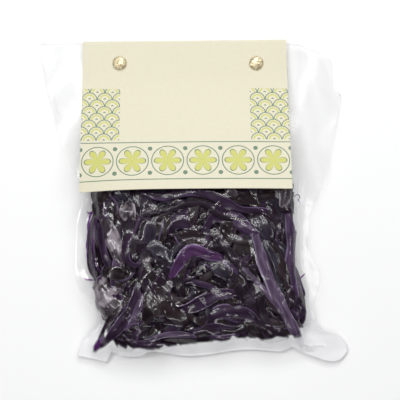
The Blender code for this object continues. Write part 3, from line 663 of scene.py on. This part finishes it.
def make_cabbage(material):
    """The strips of the front, and the rest of the block with its back, rim and slivers."""
    rng = random.Random(STRIP_SEED)
    front, hidden = Shape(), Shape()
    for points, width, lift, thickness, colours in FRONT_STRIPS:
        line = in_metres(points)
        lay_strip(front, rng, line, width * MM, lift * MM, pressed_height, thickness * MM, colours)
    for grid, kind, roll in ((LEAF_GRID, LEAVES, 0.1), (SHRED_GRID, FRONT_SHREDS, 0.25)):
        for line in scattered_lines(rng, *grid):
            lay_random_strip(front, rng, line, kind, pressed_height, roll=roll)
    for line in scattered_lines(rng, *THREAD_GRID):
        width, lift, thickness = drawn_sizes(rng, THREADS)
        colours = rng.choice((DARK_VIOLET, THREAD, PLUM))
        lay_strip(front, rng, line, width, lift, pressed_height, thickness, colours, roll=0.1)
    add_core(hidden)
    for line in scattered_lines(rng, *BACK_GRID):
        lay_random_strip(hidden, rng, line, BACK_SHREDS, underside, roll=0.15, wave=0.2 * MM,
                         end_rise=END_DIVE)
    for i in range(RIM_STRIPS):
        lay_random_strip(hidden, rng, rim_line(rng, i), RIM_SHREDS, weld_surface)
    for i in range(RAGGED_ENDS):
        lay_random_strip(hidden, rng, ragged_line(rng, i), END_SHREDS, front_height)
    for points, width in MARGIN_SLIVERS:
        line = in_metres(points)
        lay_strip(hidden, rng, line, width * MM, 0, weld_surface, 0.6 * MM, BRIGHT, roll=0, wave=0)
    return [add_shape("cabbage_strips", front, material), add_shape("cabbage_block", hidden, material)]


def around(wide):
    """The four neighbours of every point inside the border of a grid."""
    return wide[:-2, 1:-1], wide[2:, 1:-1], wide[1:-1, :-2], wide[1:-1, 2:]


def pouch_plan(columns, rows):
    """The plan of both films: a grid that fits the four wavy edges, finer over the bare cabbage."""
    left = smooth_curve(LEFT_EDGE, PLAN_ROWS + 1) * MM
    right = smooth_curve(RIGHT_EDGE, PLAN_ROWS + 1) * MM
    bottom = smooth_curve(BOTTOM_EDGE, PLAN_COLUMNS + 1) * MM
    top = smooth_curve(TOP_EDGE, PLAN_COLUMNS + 1) * MM
    u = np.linspace(0, 1, PLAN_COLUMNS + 1)[None, :, None]
    v = np.linspace(0, 1, PLAN_ROWS + 1)[:, None, None]
    ruled = (1 - v) * bottom[None] + v * top[None] + (1 - u) * left[:, None] + u * right[:, None]
    corners = (1 - u) * ((1 - v) * bottom[0] + v * top[0]) + u * ((1 - v) * bottom[-1] + v * top[-1])
    plan = ruled - corners
    for _ in range(EVENING_ROUNDS):
        plan[1:-1, 1:-1] = sum(around(plan)) / 4
    bare = np.linspace(0, CARD_FOOT_SHARE, rows[0] + 1)
    under_card = np.linspace(CARD_FOOT_SHARE, 1, rows[1] + 1)[1:]
    plan = resample(plan, np.concatenate([bare, under_card]) * PLAN_ROWS)
    plan = resample(plan.transpose(1, 0, 2), np.linspace(0, PLAN_COLUMNS, columns + 1))
    return plan.transpose(1, 0, 2)


def neighbour_mean(grid):
    return sum(around(np.pad(grid, 1, mode="edge"))) / 4


def neighbour_most(grid):
    return np.max([grid, *around(np.pad(grid, 1, mode="edge"))], axis=0)


def softly_grown(grid):
    """The grid's heights spread to their neighbours, and then evened out."""
    for _ in range(GROW_ROUNDS):
        grid = neighbour_most(grid)
    for _ in range(SOFT_ROUNDS):
        grid = neighbour_mean(grid)
    return grid


def draped(limit):
    """A stretched film over the heights of limit, which bridges narrow gaps."""
    film = limit.copy()
    for _ in range(TAUT_ROUNDS):
        film = np.maximum(limit, neighbour_mean(film))
    film = softly_grown(film)
    for _ in range(LIFT_ROUNDS):
        film = film + softly_grown(np.maximum(limit - film, 0))
    return np.maximum(film, limit - FILM_SLACK)


def cast_on(tree, plan, side):
    """Where lines from above (side 1) or below (-1) meet the cabbage, times side, and whether they do."""
    heights = np.full(plan.shape[:2], FAR_BELOW)
    for i, j in np.ndindex(heights.shape):
        hit = tree.ray_cast(Vector((*plan[i, j], side)), Vector((0, 0, -side)))[0]
        if hit is not None:
            heights[i, j] = hit.z * side
    return heights, (heights > FAR_BELOW / 2) * 1.0


def film_object(name, plan, outer, inner, covered, materials, outer_is_top):
    """A film as a closed thin body: a fine outer face and an inner face on every second point of the grid."""
    rows, columns = outer.shape
    outer_points = np.column_stack([plan.reshape(-1, 2), outer.ravel()])
    inner_points = np.column_stack([plan[::2, ::2].reshape(-1, 2), inner[::2, ::2].ravel()])
    count = len(outer_points)
    outer_faces = grid_faces(rows, columns, False)
    inner_size = (rows + 1) // 2, (columns + 1) // 2
    inner_faces = flipped(grid_faces(*inner_size, False), count)
    fine, coarse = border(rows, columns), border(*inner_size)
    rim = []
    for k, near in enumerate(coarse):
        following = coarse[(k + 1) % len(coarse)]
        fine_edge = [fine[(2 * k + step) % len(fine)] for step in (2, 1, 0)]
        rim.append([*fine_edge, count + near, count + following])
    faces = outer_faces + inner_faces + rim
    if not outer_is_top:
        faces = flipped(faces)
    film = new_object(name, np.vstack([outer_points, inner_points]), faces, materials[0])
    film.data.materials.append(materials[1])
    numbers = np.zeros(len(faces), int)
    numbers[len(outer_faces):len(outer_faces) + len(inner_faces)] = 1
    film.data.polygons.foreach_set("material_index", numbers)
    haze = film_haze(plan[..., 0], plan[..., 1], covered)
    values = np.concatenate([haze.ravel(), haze[::2, ::2].ravel()])
    add_colours(film.data, "film_haze", np.repeat(values[:, None], 3, axis=1))
    return film


def fold_lines(rng, x, y):
    """Short rounded folds where the film is gathered between strips, as heights over the film."""
    relief = np.zeros_like(x)
    for _ in range(FOLD_COUNT):
        cx, cy = outline_point(rng.uniform(0, 2 * math.pi), math.sqrt(rng.uniform(0, 1)) * 0.98)
        length, width = rng.choice(FOLD_LENGTHS) * MM, rng.uniform(*FOLD_WIDTHS) * MM
        height = rng.uniform(*FOLD_HEIGHTS) * MM
        heading, bend = rng.uniform(0, math.pi), rng.uniform(-FOLD_BEND, FOLD_BEND)
        dx, dy = x - cx, y - cy
        along = dx * math.cos(heading) + dy * math.sin(heading)
        off = dy * math.cos(heading) - dx * math.sin(heading) - bend * along**2
        fade = np.clip(1 - (2 * along / length) ** 2, 0, 1)
        ridge = np.cos(np.clip(off / width, -1, 1) * math.pi / 2) ** 2 * fade
        relief = np.maximum(relief, height * ridge)
    return relief


def film_relief(x, y):
    """The front film's own creases over the cabbage: facets in two sizes, bent by a soft noise, and folds."""
    warp_x = x + WARP * soft_noise(x, y, 11 * MM, 31)
    warp_y = y + WARP * soft_noise(x, y, 11 * MM, 32)
    large = 0.65 * facet_noise(warp_x, warp_y, 10 * MM, 33)
    small = 0.35 * facet_noise(warp_y, warp_x, 5.5 * MM, 34)
    creases = np.maximum((0.3 + (large + small)) * MM, 0)
    return creases + fold_lines(random.Random(FOLD_SEED), x, y)


def margin_relief(x, y):
    """Soft creases of the margin, which both films share, drawn out into streaks."""
    outside = smoothstep(0.98, 1.2, block_radius(x, y))
    streaks = facet_noise(x + 0.4 * y, 0.35 * y - 0.5 * x, 9 * MM, 21)
    swells = 0.5 * soft_noise(x, y, 6 * MM, 22)
    gathers = smoothstep(88 * MM, 100 * MM, -y) * facet_noise(x + 0.3 * y, 0.2 * y, 4 * MM, 23)
    crinkles = facet_noise(x + 0.5 * y, 0.3 * y - 0.6 * x, 3.5 * MM, 24)
    return MARGIN_CREASE * outside * (streaks + swells + 3 * gathers + crinkles)


def seam_height(plan):
    """Where the two films meet: the welded margin and its creases, falling towards the bottom edge."""
    x, y = plan[..., 0], plan[..., 1]
    from_edge = smoothstep(0, EDGE_FALL, y - y[0])
    seam = weld_surface(x, y) + margin_relief(x, y)
    seam = EDGE_HEIGHT + (seam - EDGE_HEIGHT) * from_edge
    return np.maximum(seam, back_floor(y) + SOLID_FILM + WELD_GAP)


def film_haze(x, y, covered):
    """How milky the film is: most in the gathered flap below the cabbage, where the milkiness is also a
    painted highlight, and little in the clear wings.
    """
    radius = block_radius(x, y)
    outside = (1 - neighbour_mean(covered)) * smoothstep(0.9, 1.0, radius)
    low = smoothstep(*FLAP_GROWS, -y)
    ragged = radius / reach_at(y) + 0.045 * facet_noise(x, 0.3 * y, 5 * MM, 52)
    # The ragged milky band over the cabbage's lower edge is a painted highlight of film that catches light
    # there.
    flap_edge_highlight = 0.7 * low * smoothstep(0.985, 1.005, ragged) * smoothstep(-58 * MM, -48 * MM, x)
    outside = np.maximum(outside, flap_edge_highlight)
    streaks = 0.5 + 0.5 * facet_noise(x, 0.35 * y, 7 * MM, 51)
    # The flap's milkiness is partly a milky seam and partly a painted highlight of the folded film.
    flap = FLAP_HAZE_AND_HIGHLIGHT + 0.15 * streaks
    side = 0.05 * smoothstep(0.3, 0.9, streaks)
    return outside * (side + (flap - side) * low)


def make_films(cabbage, front_materials, back_materials):
    """Both films, each drawn over the strips that it touches."""
    corners, polygons = [], []
    for piece in cabbage:
        base = len(corners)
        corners += [v.co.copy() for v in piece.data.vertices]
        polygons += [[base + i for i in p.vertices] for p in piece.data.polygons]
    tree = BVHTree.FromPolygons(corners, polygons)

    plan = pouch_plan(*FRONT_FILM_GRID)
    x, y = plan[..., 0], plan[..., 1]
    start = seam_height(plan) + WELD_GAP / 2
    strips, covered = cast_on(tree, plan, 1)
    taut = np.maximum(draped(np.maximum(strips + FILM_CLEARANCE, start)), start)
    inside = smoothstep(1.02, 0.97, block_radius(x, y))
    outer = taut + FILM + inside * film_relief(x, y)
    front = film_object("pouch_front_film", plan, outer, taut, covered, front_materials, True)

    plan = pouch_plan(*BACK_FILM_GRID)
    x, y = plan[..., 0], plan[..., 1]
    floor = back_floor(y)
    rise = smoothstep(FLAT_SHARE - 0.04, 1.0, block_radius(x, y))
    start = floor + FILM + (seam_height(plan) - WELD_GAP / 2 - FILM - floor) * rise
    strips, covered = cast_on(tree, plan, -1)
    limit = np.where(covered > 0, np.minimum(start, -strips - FILM_CLEARANCE), start)
    taut = np.maximum(-draped(-limit), floor + FILM)
    back = film_object("pouch_back_film", plan, taut - FILM, taut, covered, back_materials, False)
    return front, back


def front_panel_height(x, y):
    """Height of the card's inner face over the pouch: level at the rivets, then rising over the block."""
    past_bend = CARD_BEND_LENGTH * math.log1p(math.exp((CARD_BEND_AT - y) / CARD_BEND_LENGTH))
    droop = CARD_DROOP * (max(CARD_DROOP_FROM - x, 0) / (CARD_DROOP_FROM - CARD_LEFT)) ** 2
    share = min(past_bend / CARD_BEND_AT, 1.0)
    level = MARGIN_UNDER_CARD + WELD_GAP / 2 + SOLID_FILM + FILM_CLEARANCE
    return level + CARD_SLOPE * past_bend - droop * share**2


def card_rows(x):
    """The (y, z) line of the card's middle surface at x, from its front foot to its back foot."""
    share = (x - CARD_LEFT) / (CARD_RIGHT - CARD_LEFT)
    foot = CARD_FRONT_FOOT + CARD_FOOT_BOW * (1 - (2 * share - 1) ** 2)
    front_fold, back_fold = front_panel_height(x, CARD_TOP) + CARD / 2, card_back_height(CARD_TOP)
    radius = (front_fold - back_fold) / 2
    fold_y = CARD_TOP - radius - CARD / 2
    rows = [(y, front_panel_height(x, y) + CARD / 2) for y in np.linspace(foot, fold_y, FRONT_PANEL_ROWS)]
    for step in range(1, FOLD_STEPS):
        angle = math.pi / 2 - math.pi * step / FOLD_STEPS
        rows.append((fold_y + radius * math.cos(angle), back_fold + radius * (1 + math.sin(angle))))
    rows += [(y, card_back_height(y)) for y in np.linspace(fold_y, CARD_BACK_FOOT, BACK_PANEL_ROWS)]
    return rows


def make_card(material):
    """One folded sheet; its UV map is in millimetres from the left edge and from the nearer foot."""
    columns = np.linspace(CARD_LEFT, CARD_RIGHT, CARD_COLUMNS + 1)
    grid = np.array([[(x, y, z) for y, z in card_rows(x)] for x in columns])
    rows = grid.shape[1]
    along, across = np.gradient(grid, axis=1), np.gradient(grid, axis=0)
    normals = np.cross(across, along)
    normals /= np.linalg.norm(normals, axis=2, keepdims=True)
    c, s = math.cos(CARD_TURN), math.sin(CARD_TURN)
    turn = np.array([[c, -s, 0], [s, c, 0], [0, 0, 1]])
    pivot = np.array([0, CARD_TOP, 0])
    faces_of_sheet = [grid + normals * CARD / 2, grid - normals * CARD / 2]
    outer, inner = [(places.reshape(-1, 3) - pivot) @ turn.T + pivot for places in faces_of_sheet]
    count = len(outer)
    outer_faces = flipped(grid_faces(CARD_COLUMNS + 1, rows, False))
    loop = border(CARD_COLUMNS + 1, rows)
    rim = [(b, b + count, a + count, a) for a, b in zip(loop, loop[1:] + loop[:1])]
    faces = outer_faces + flipped(outer_faces, count) + rim
    card = new_object("folded_header_card", np.vstack([outer, inner]), faces, material)
    card.data.set_sharp_from_angle(angle=math.radians(40))
    along = np.cumsum(np.linalg.norm(np.diff(grid, axis=1, prepend=grid[:, :1]), axis=2), axis=1)
    from_foot = np.minimum(along, along[:, -1:] - along)
    places = np.stack([grid[..., 0] - CARD_LEFT, from_foot], axis=-1).reshape(-1, 2) / MM
    places = np.vstack([places, places + [0, UNPRINTED]])
    layer = card.data.uv_layers.new(name="sheet_mm")
    corners = np.empty(len(card.data.loops), int)
    card.data.loops.foreach_get("vertex_index", corners)
    layer.data.foreach_set("uv", places[corners].ravel())
    return card


def make_rivet(name, x, seed, material):
    """A turned brass rivet with a hammered head."""
    seat = front_panel_height(x, RIVET_Y) + CARD + RIVET_SEAT_GAP
    crown = RIVET_HEAD_HEIGHT - RIVET_HEAD_EDGE
    profile = [(0.02 * MM, seat + RIVET_HEAD_HEIGHT)]
    for degrees in range(85, -1, -5):
        a = math.radians(degrees)
        profile.append((RIVET_HEAD_RADIUS * math.cos(a), seat + RIVET_HEAD_EDGE + crown * math.sin(a)))
    foot_low, foot_high = RIVET_FOOT
    profile += [
        (RIVET_HEAD_RADIUS * 0.98, seat), (RIVET_SHANK_RADIUS, seat), (RIVET_SHANK_RADIUS, foot_high),
        (RIVET_FOOT_RADIUS, foot_high), (RIVET_FOOT_RADIUS, foot_low), (0.02 * MM, foot_low),
    ]
    angle = 2 * np.pi * np.arange(RIVET_SIDES) / RIVET_SIDES
    circle = np.column_stack([np.cos(angle), np.sin(angle), np.ones(RIVET_SIDES)])
    vertices = np.vstack([circle * [r, r, z] for r, z in profile])
    on_head = vertices[:, 2] > seat + RIVET_HEAD_EDGE * 0.9
    dents = facet_noise(vertices[:, 0], vertices[:, 1], 1.3 * MM, seed)
    vertices[:, 2] += np.where(on_head, dents * DENT_DEPTH, 0)
    vertices += [x, RIVET_Y, 0]
    rivet = new_object(name, vertices, flipped(grid_faces(len(profile), RIVET_SIDES, True)), material)
    rivet.data.set_sharp_from_angle(angle=math.radians(50))
    return rivet


class Looks:
    """A material that is put together from nodes; a call adds a maths node."""

    def __init__(self, name):
        self.material = bpy.data.materials.new(name)
        self.material.use_nodes = True
        self.tree = self.material.node_tree
        self.tree.nodes.clear()
        self.output = self.tree.nodes.new("ShaderNodeOutputMaterial")

    def feed(self, socket, value):
        """Links an output to the socket, or puts a number or a colour on it."""
        if isinstance(value, bpy.types.NodeSocket):
            self.tree.links.new(value, socket)
        else:
            socket.default_value = (*value, 1) if isinstance(value, tuple) else value

    def node(self, kind, inputs):
        node = self.tree.nodes.new(kind)
        for name, value in inputs.items():
            self.feed(node.inputs[name], value)
        return node

    def __call__(self, operation, *values):
        node = self.node("ShaderNodeMath", dict(enumerate(values)))
        node.operation = operation
        return node.outputs[0]

    def stroke(self, value, middle):
        """A mask of the printed line along which the value equals middle."""
        return self("LESS_THAN", self("ABSOLUTE", self("SUBTRACT", value, middle)), LINE / 2)

    def between(self, value, low, high):
        return self("MULTIPLY", self("GREATER_THAN", value, low), self("LESS_THAN", value, high))

    def either(self, *masks):
        result = masks[0]
        for mask in masks[1:]:
            result = self("MAXIMUM", result, mask)
        return result

    def mix(self, factor, first, second):
        """A colour between two others."""
        node = self.tree.nodes.new("ShaderNodeMix")
        node.data_type = "RGBA"
        for name, value in (("Factor_Float", factor), ("A_Color", first), ("B_Color", second)):
            self.feed(next(s for s in node.inputs if s.identifier == name), value)
        return next(s for s in node.outputs if s.identifier == "Result_Color")

    def painted(self, layer):
        """The colours of one of the mesh's layers."""
        node = self.tree.nodes.new("ShaderNodeVertexColor")
        node.layer_name = layer
        return node.outputs["Color"]

    def blend(self, factor, first, second):
        """A shader between two others."""
        return self.node("ShaderNodeMixShader", {0: factor, 1: first.outputs[0], 2: second.outputs[0]})

    def bumpy(self, height, strength, distance):
        inputs = {"Strength": strength, "Distance": distance, "Height": height}
        return self.node("ShaderNodeBump", inputs).outputs["Normal"]

    def finished(self, shader):
        self.feed(self.output.inputs["Surface"], shader.outputs[0])
        return self.material

    def solid(self, inputs):
        """Finishes the material with one shader that has these inputs."""
        return self.finished(self.node("ShaderNodeBsdfPrincipled", inputs))


def film_material(name, reflection):
    """Clear film, milky where hazy, that mirrors this share of the light head on and more at a slant."""
    looks = Looks(name)
    facing = looks.node("ShaderNodeLayerWeight", {"Blend": 0.5}).outputs["Facing"]
    slant = looks("POWER", facing, 5)
    mirror = looks("MULTIPLY_ADD", slant, 20 * reflection, reflection)
    clear = looks.node("ShaderNodeBsdfTransparent", {})
    milky = looks.node("ShaderNodeBsdfDiffuse", {"Color": (0.985, 0.98, 0.995)})
    gloss = looks.node("ShaderNodeBsdfGlossy", {"Roughness": 0.15})
    body = looks.blend(looks.painted("film_haze"), clear, milky)
    return looks.finished(looks.blend(mirror, body, gloss))


def cabbage_material():
    """Wet cooked leaf in the colours of its strips, with fine pores."""
    looks = Looks("cooked_leaf")
    pores = looks.node("ShaderNodeTexNoise", {"Scale": 900}).outputs["Fac"]
    colour, normal = looks.painted("leaf_colour"), looks.bumpy(pores, 0.05, 0.3 * MM)
    return looks.solid({"Base Color": colour, "Roughness": 0.38, "Specular IOR Level": 0.2, "Normal": normal})


def repeated(sums, u, v, pitch, first_u, centre_v):
    """Distance and angle from the nearest of a row of centres."""
    du = sums("WRAP", sums("SUBTRACT", u, first_u), pitch / 2, -pitch / 2)
    dv = sums("SUBTRACT", v, centre_v)
    distance = sums("SQRT", sums("ADD", sums("MULTIPLY", du, du), sums("MULTIPLY", dv, dv)))
    return distance, sums("ARCTAN2", dv, du)


def rosette_band(sums, u, v):
    """Masks of the lines and of the filled petals of a row of six-petalled rosettes between two rules."""
    distance, angle = repeated(sums, u, v, ROSETTE_PITCH, ROSETTE_PITCH / 2, ROSETTE_HEIGHT)
    petal = sums("POWER", sums("ABSOLUTE", sums("COSINE", sums("MULTIPLY", angle, 3))), 0.55)
    petal_edge = sums("SUBTRACT", distance, sums("MULTIPLY", petal, PETAL_LENGTH))
    lines = [sums.stroke(petal_edge, 0), sums.stroke(distance, ROSETTE_RADIUS)]
    for side in (-1, 1):
        lines.append(sums.stroke(v, ROSETTE_HEIGHT + side * BAND_HALF))
        dot_distance, _ = repeated(sums, u, v, ROSETTE_PITCH, 0, ROSETTE_HEIGHT + side * DOT_HEIGHT)
        lines.append(sums("LESS_THAN", dot_distance, DOT_RADIUS))
    return sums.either(*lines), sums("LESS_THAN", petal_edge, 0)


def scale_columns(sums, u, v):
    """Masks of a fish-scale pattern of arcs at both sides of the sheet."""
    arcs, scales = [], []
    for shift in (0, 1):
        row = sums("FLOORED_MODULO", sums("ADD", v, shift * SCALE_RISE), 2 * SCALE_RISE)
        distance, _ = repeated(sums, u, row, SCALE_PITCH, shift * SCALE_PITCH / 2, 0)
        arcs.append(sums.stroke(distance, SCALE_RADIUS))
        arcs.append(sums("LESS_THAN", distance, DOT_RADIUS * 0.6))
        scales.append(sums.between(distance, SCALE_RADIUS * 0.55, SCALE_RADIUS * 0.78))
    from_side = sums("MINIMUM", u, sums("SUBTRACT", (CARD_RIGHT - CARD_LEFT) / MM, u))
    shown = sums("MULTIPLY", sums("LESS_THAN", from_side, SCALE_COLUMN), sums.between(v, *SCALE_ROWS))
    return sums("MULTIPLY", sums.either(*arcs), shown), sums("MULTIPLY", sums.either(*scales), shown)


def card_material():
    """Cream card with a printed band of rosettes along its foot and scales up its sides."""
    looks = Looks("printed_card")
    place = looks.node("ShaderNodeUVMap", {})
    place.uv_map = "sheet_mm"
    place = place.outputs[0]
    u, v = looks.node("ShaderNodeSeparateXYZ", {0: place}).outputs[:2]
    lines, fill = [looks.either(*both) for both in zip(rosette_band(looks, u, v), scale_columns(looks, u, v))]
    fibres = looks.node("ShaderNodeTexNoise", {"Vector": place, "Scale": 0.35, "Detail": 6}).outputs["Fac"]
    colour = looks.mix(fibres, CARD_SHADE, CARD_CREAM)
    for mask, ink in ((fill, INK_YELLOW), (lines, INK_GREEN)):
        colour = looks.mix(looks("MULTIPLY", mask, INK_COVER), colour, ink)
    normal = looks.bumpy(fibres, 0.25, 0.2 * MM)
    return looks.solid({"Base Color": colour, "Roughness": 0.55, "Normal": normal})


def brass_material():
    """Pale brass with darker flecks scattered by a fine noise."""
    looks = Looks("hammered_brass")
    place = looks.node("ShaderNodeTexCoord", {}).outputs["Object"]
    flecks = looks.node("ShaderNodeTexNoise", {"Vector": place, "Scale": 900, "Detail": 3}).outputs["Fac"]
    colour = looks.mix(looks("GREATER_THAN", flecks, 0.56), BRASS, DARK_BRASS)
    return looks.solid({"Base Color": colour, "Metallic": 0.7, "Roughness": 0.42})


def add_floor():
    material = Looks("pale_floor").solid({"Base Color": (0.98, 0.98, 0.98), "Roughness": 0.9})
    corners = np.array([(-1, -1, 0), (1, -1, 0), (1, 1, 0), (-1, 1, 0)]) * 3.0
    floor = new_object("floor", corners, [(0, 1, 2, 3)], material)
    floor.location.z = -0.0003


def add_light(name, azimuth, elevation, size, radiance, distance=1.1, mirrored=True):
    """A soft box that faces the pack; azimuth 0 is above the card and 90 to its right."""
    data = bpy.data.lights.new(name, "AREA")
    data.shape = "RECTANGLE"
    data.size, data.size_y = size
    data.energy = radiance * math.pi * size[0] * size[1]
    light = add_to_scene(name, data)
    a, e = math.radians(azimuth), math.radians(elevation)
    direction = Vector((math.sin(a) * math.cos(e), math.cos(a) * math.cos(e), math.sin(e)))
    light.location = direction * distance
    light.rotation_euler = direction.to_track_quat("Z", "Y").to_euler()
    light.visible_glossy = mirrored


def add_lights():
    world = bpy.data.worlds.new("studio")
    world.use_nodes = True
    sky = world.node_tree.nodes["Background"].inputs
    sky["Color"].default_value = (0.96, 0.97, 1, 1)
    sky["Strength"].default_value = 0.2
    world.cycles_visibility.glossy = False
    bpy.context.scene.world = world
    add_light("overhead_sheet", 180, 66, (1.6, 1.6), 0.55, distance=1.4, mirrored=False)
    for name, values in LIGHTS.items():
        add_light(name, *values)


def add_camera():
    target = Vector(VIEW_TARGET) + SHIFT
    away = Vector((0, -math.cos(VIEW_ELEVATION), math.sin(VIEW_ELEVATION)))
    data = bpy.data.cameras.new("camera")
    data.lens = LENS
    data.sensor_width = 36
    camera = add_to_scene("camera", data)
    camera.location = target + away * VIEW_DISTANCE
    camera.rotation_euler = away.to_track_quat("Z", "Y").to_euler()
    bpy.context.scene.camera = camera


def rivet_middle(node):
    low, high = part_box(node)
    return Vector(((low[0] + high[0]) / 2, (low[1] + high[1]) / 2, 0))


# From this script's own places to the frame's, measured at the left rivet.
SHIFT = rivet_middle("rivet_left") - Vector((RIVETS[0][1], RIVET_Y, 0))


def main():
    bpy.context.scene.view_settings.view_transform = "Standard"
    bpy.context.scene.cycles.transparent_max_bounces = 32
    inner_face = film_material("film_inner_face", reflection=0.004)
    front_film = [film_material("clear_front_film", reflection=0.052), inner_face]
    back_film = [film_material("clear_back_film", reflection=0.015), inner_face]
    cabbage = make_cabbage(cabbage_material())
    front, back = make_films(cabbage, front_film, back_film)
    card = make_card(card_material())
    brass = brass_material()
    rivets = [make_rivet(f"hammered_rivet_{side}", x, seed, brass) for side, x, seed in RIVETS]
    placed = [
        (cabbage[0], "cabbage", ["cabbage_shreds"]),
        (cabbage[1], "cabbage", ["cabbage_shreds"]),
        (front, "film", ["film_front"]),
        (back, "film", ["film_back"]),
        (card, "card", ["header_card"]),
        (rivets[0], "brass", ["rivet_left"]),
        (rivets[1], "brass", ["rivet_right"]),
    ]
    for piece, slot, nodes in placed:
        piece.location += SHIFT
        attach(piece, "root")
        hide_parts(*nodes)
    add_floor()
    add_lights()
    add_camera()


main()
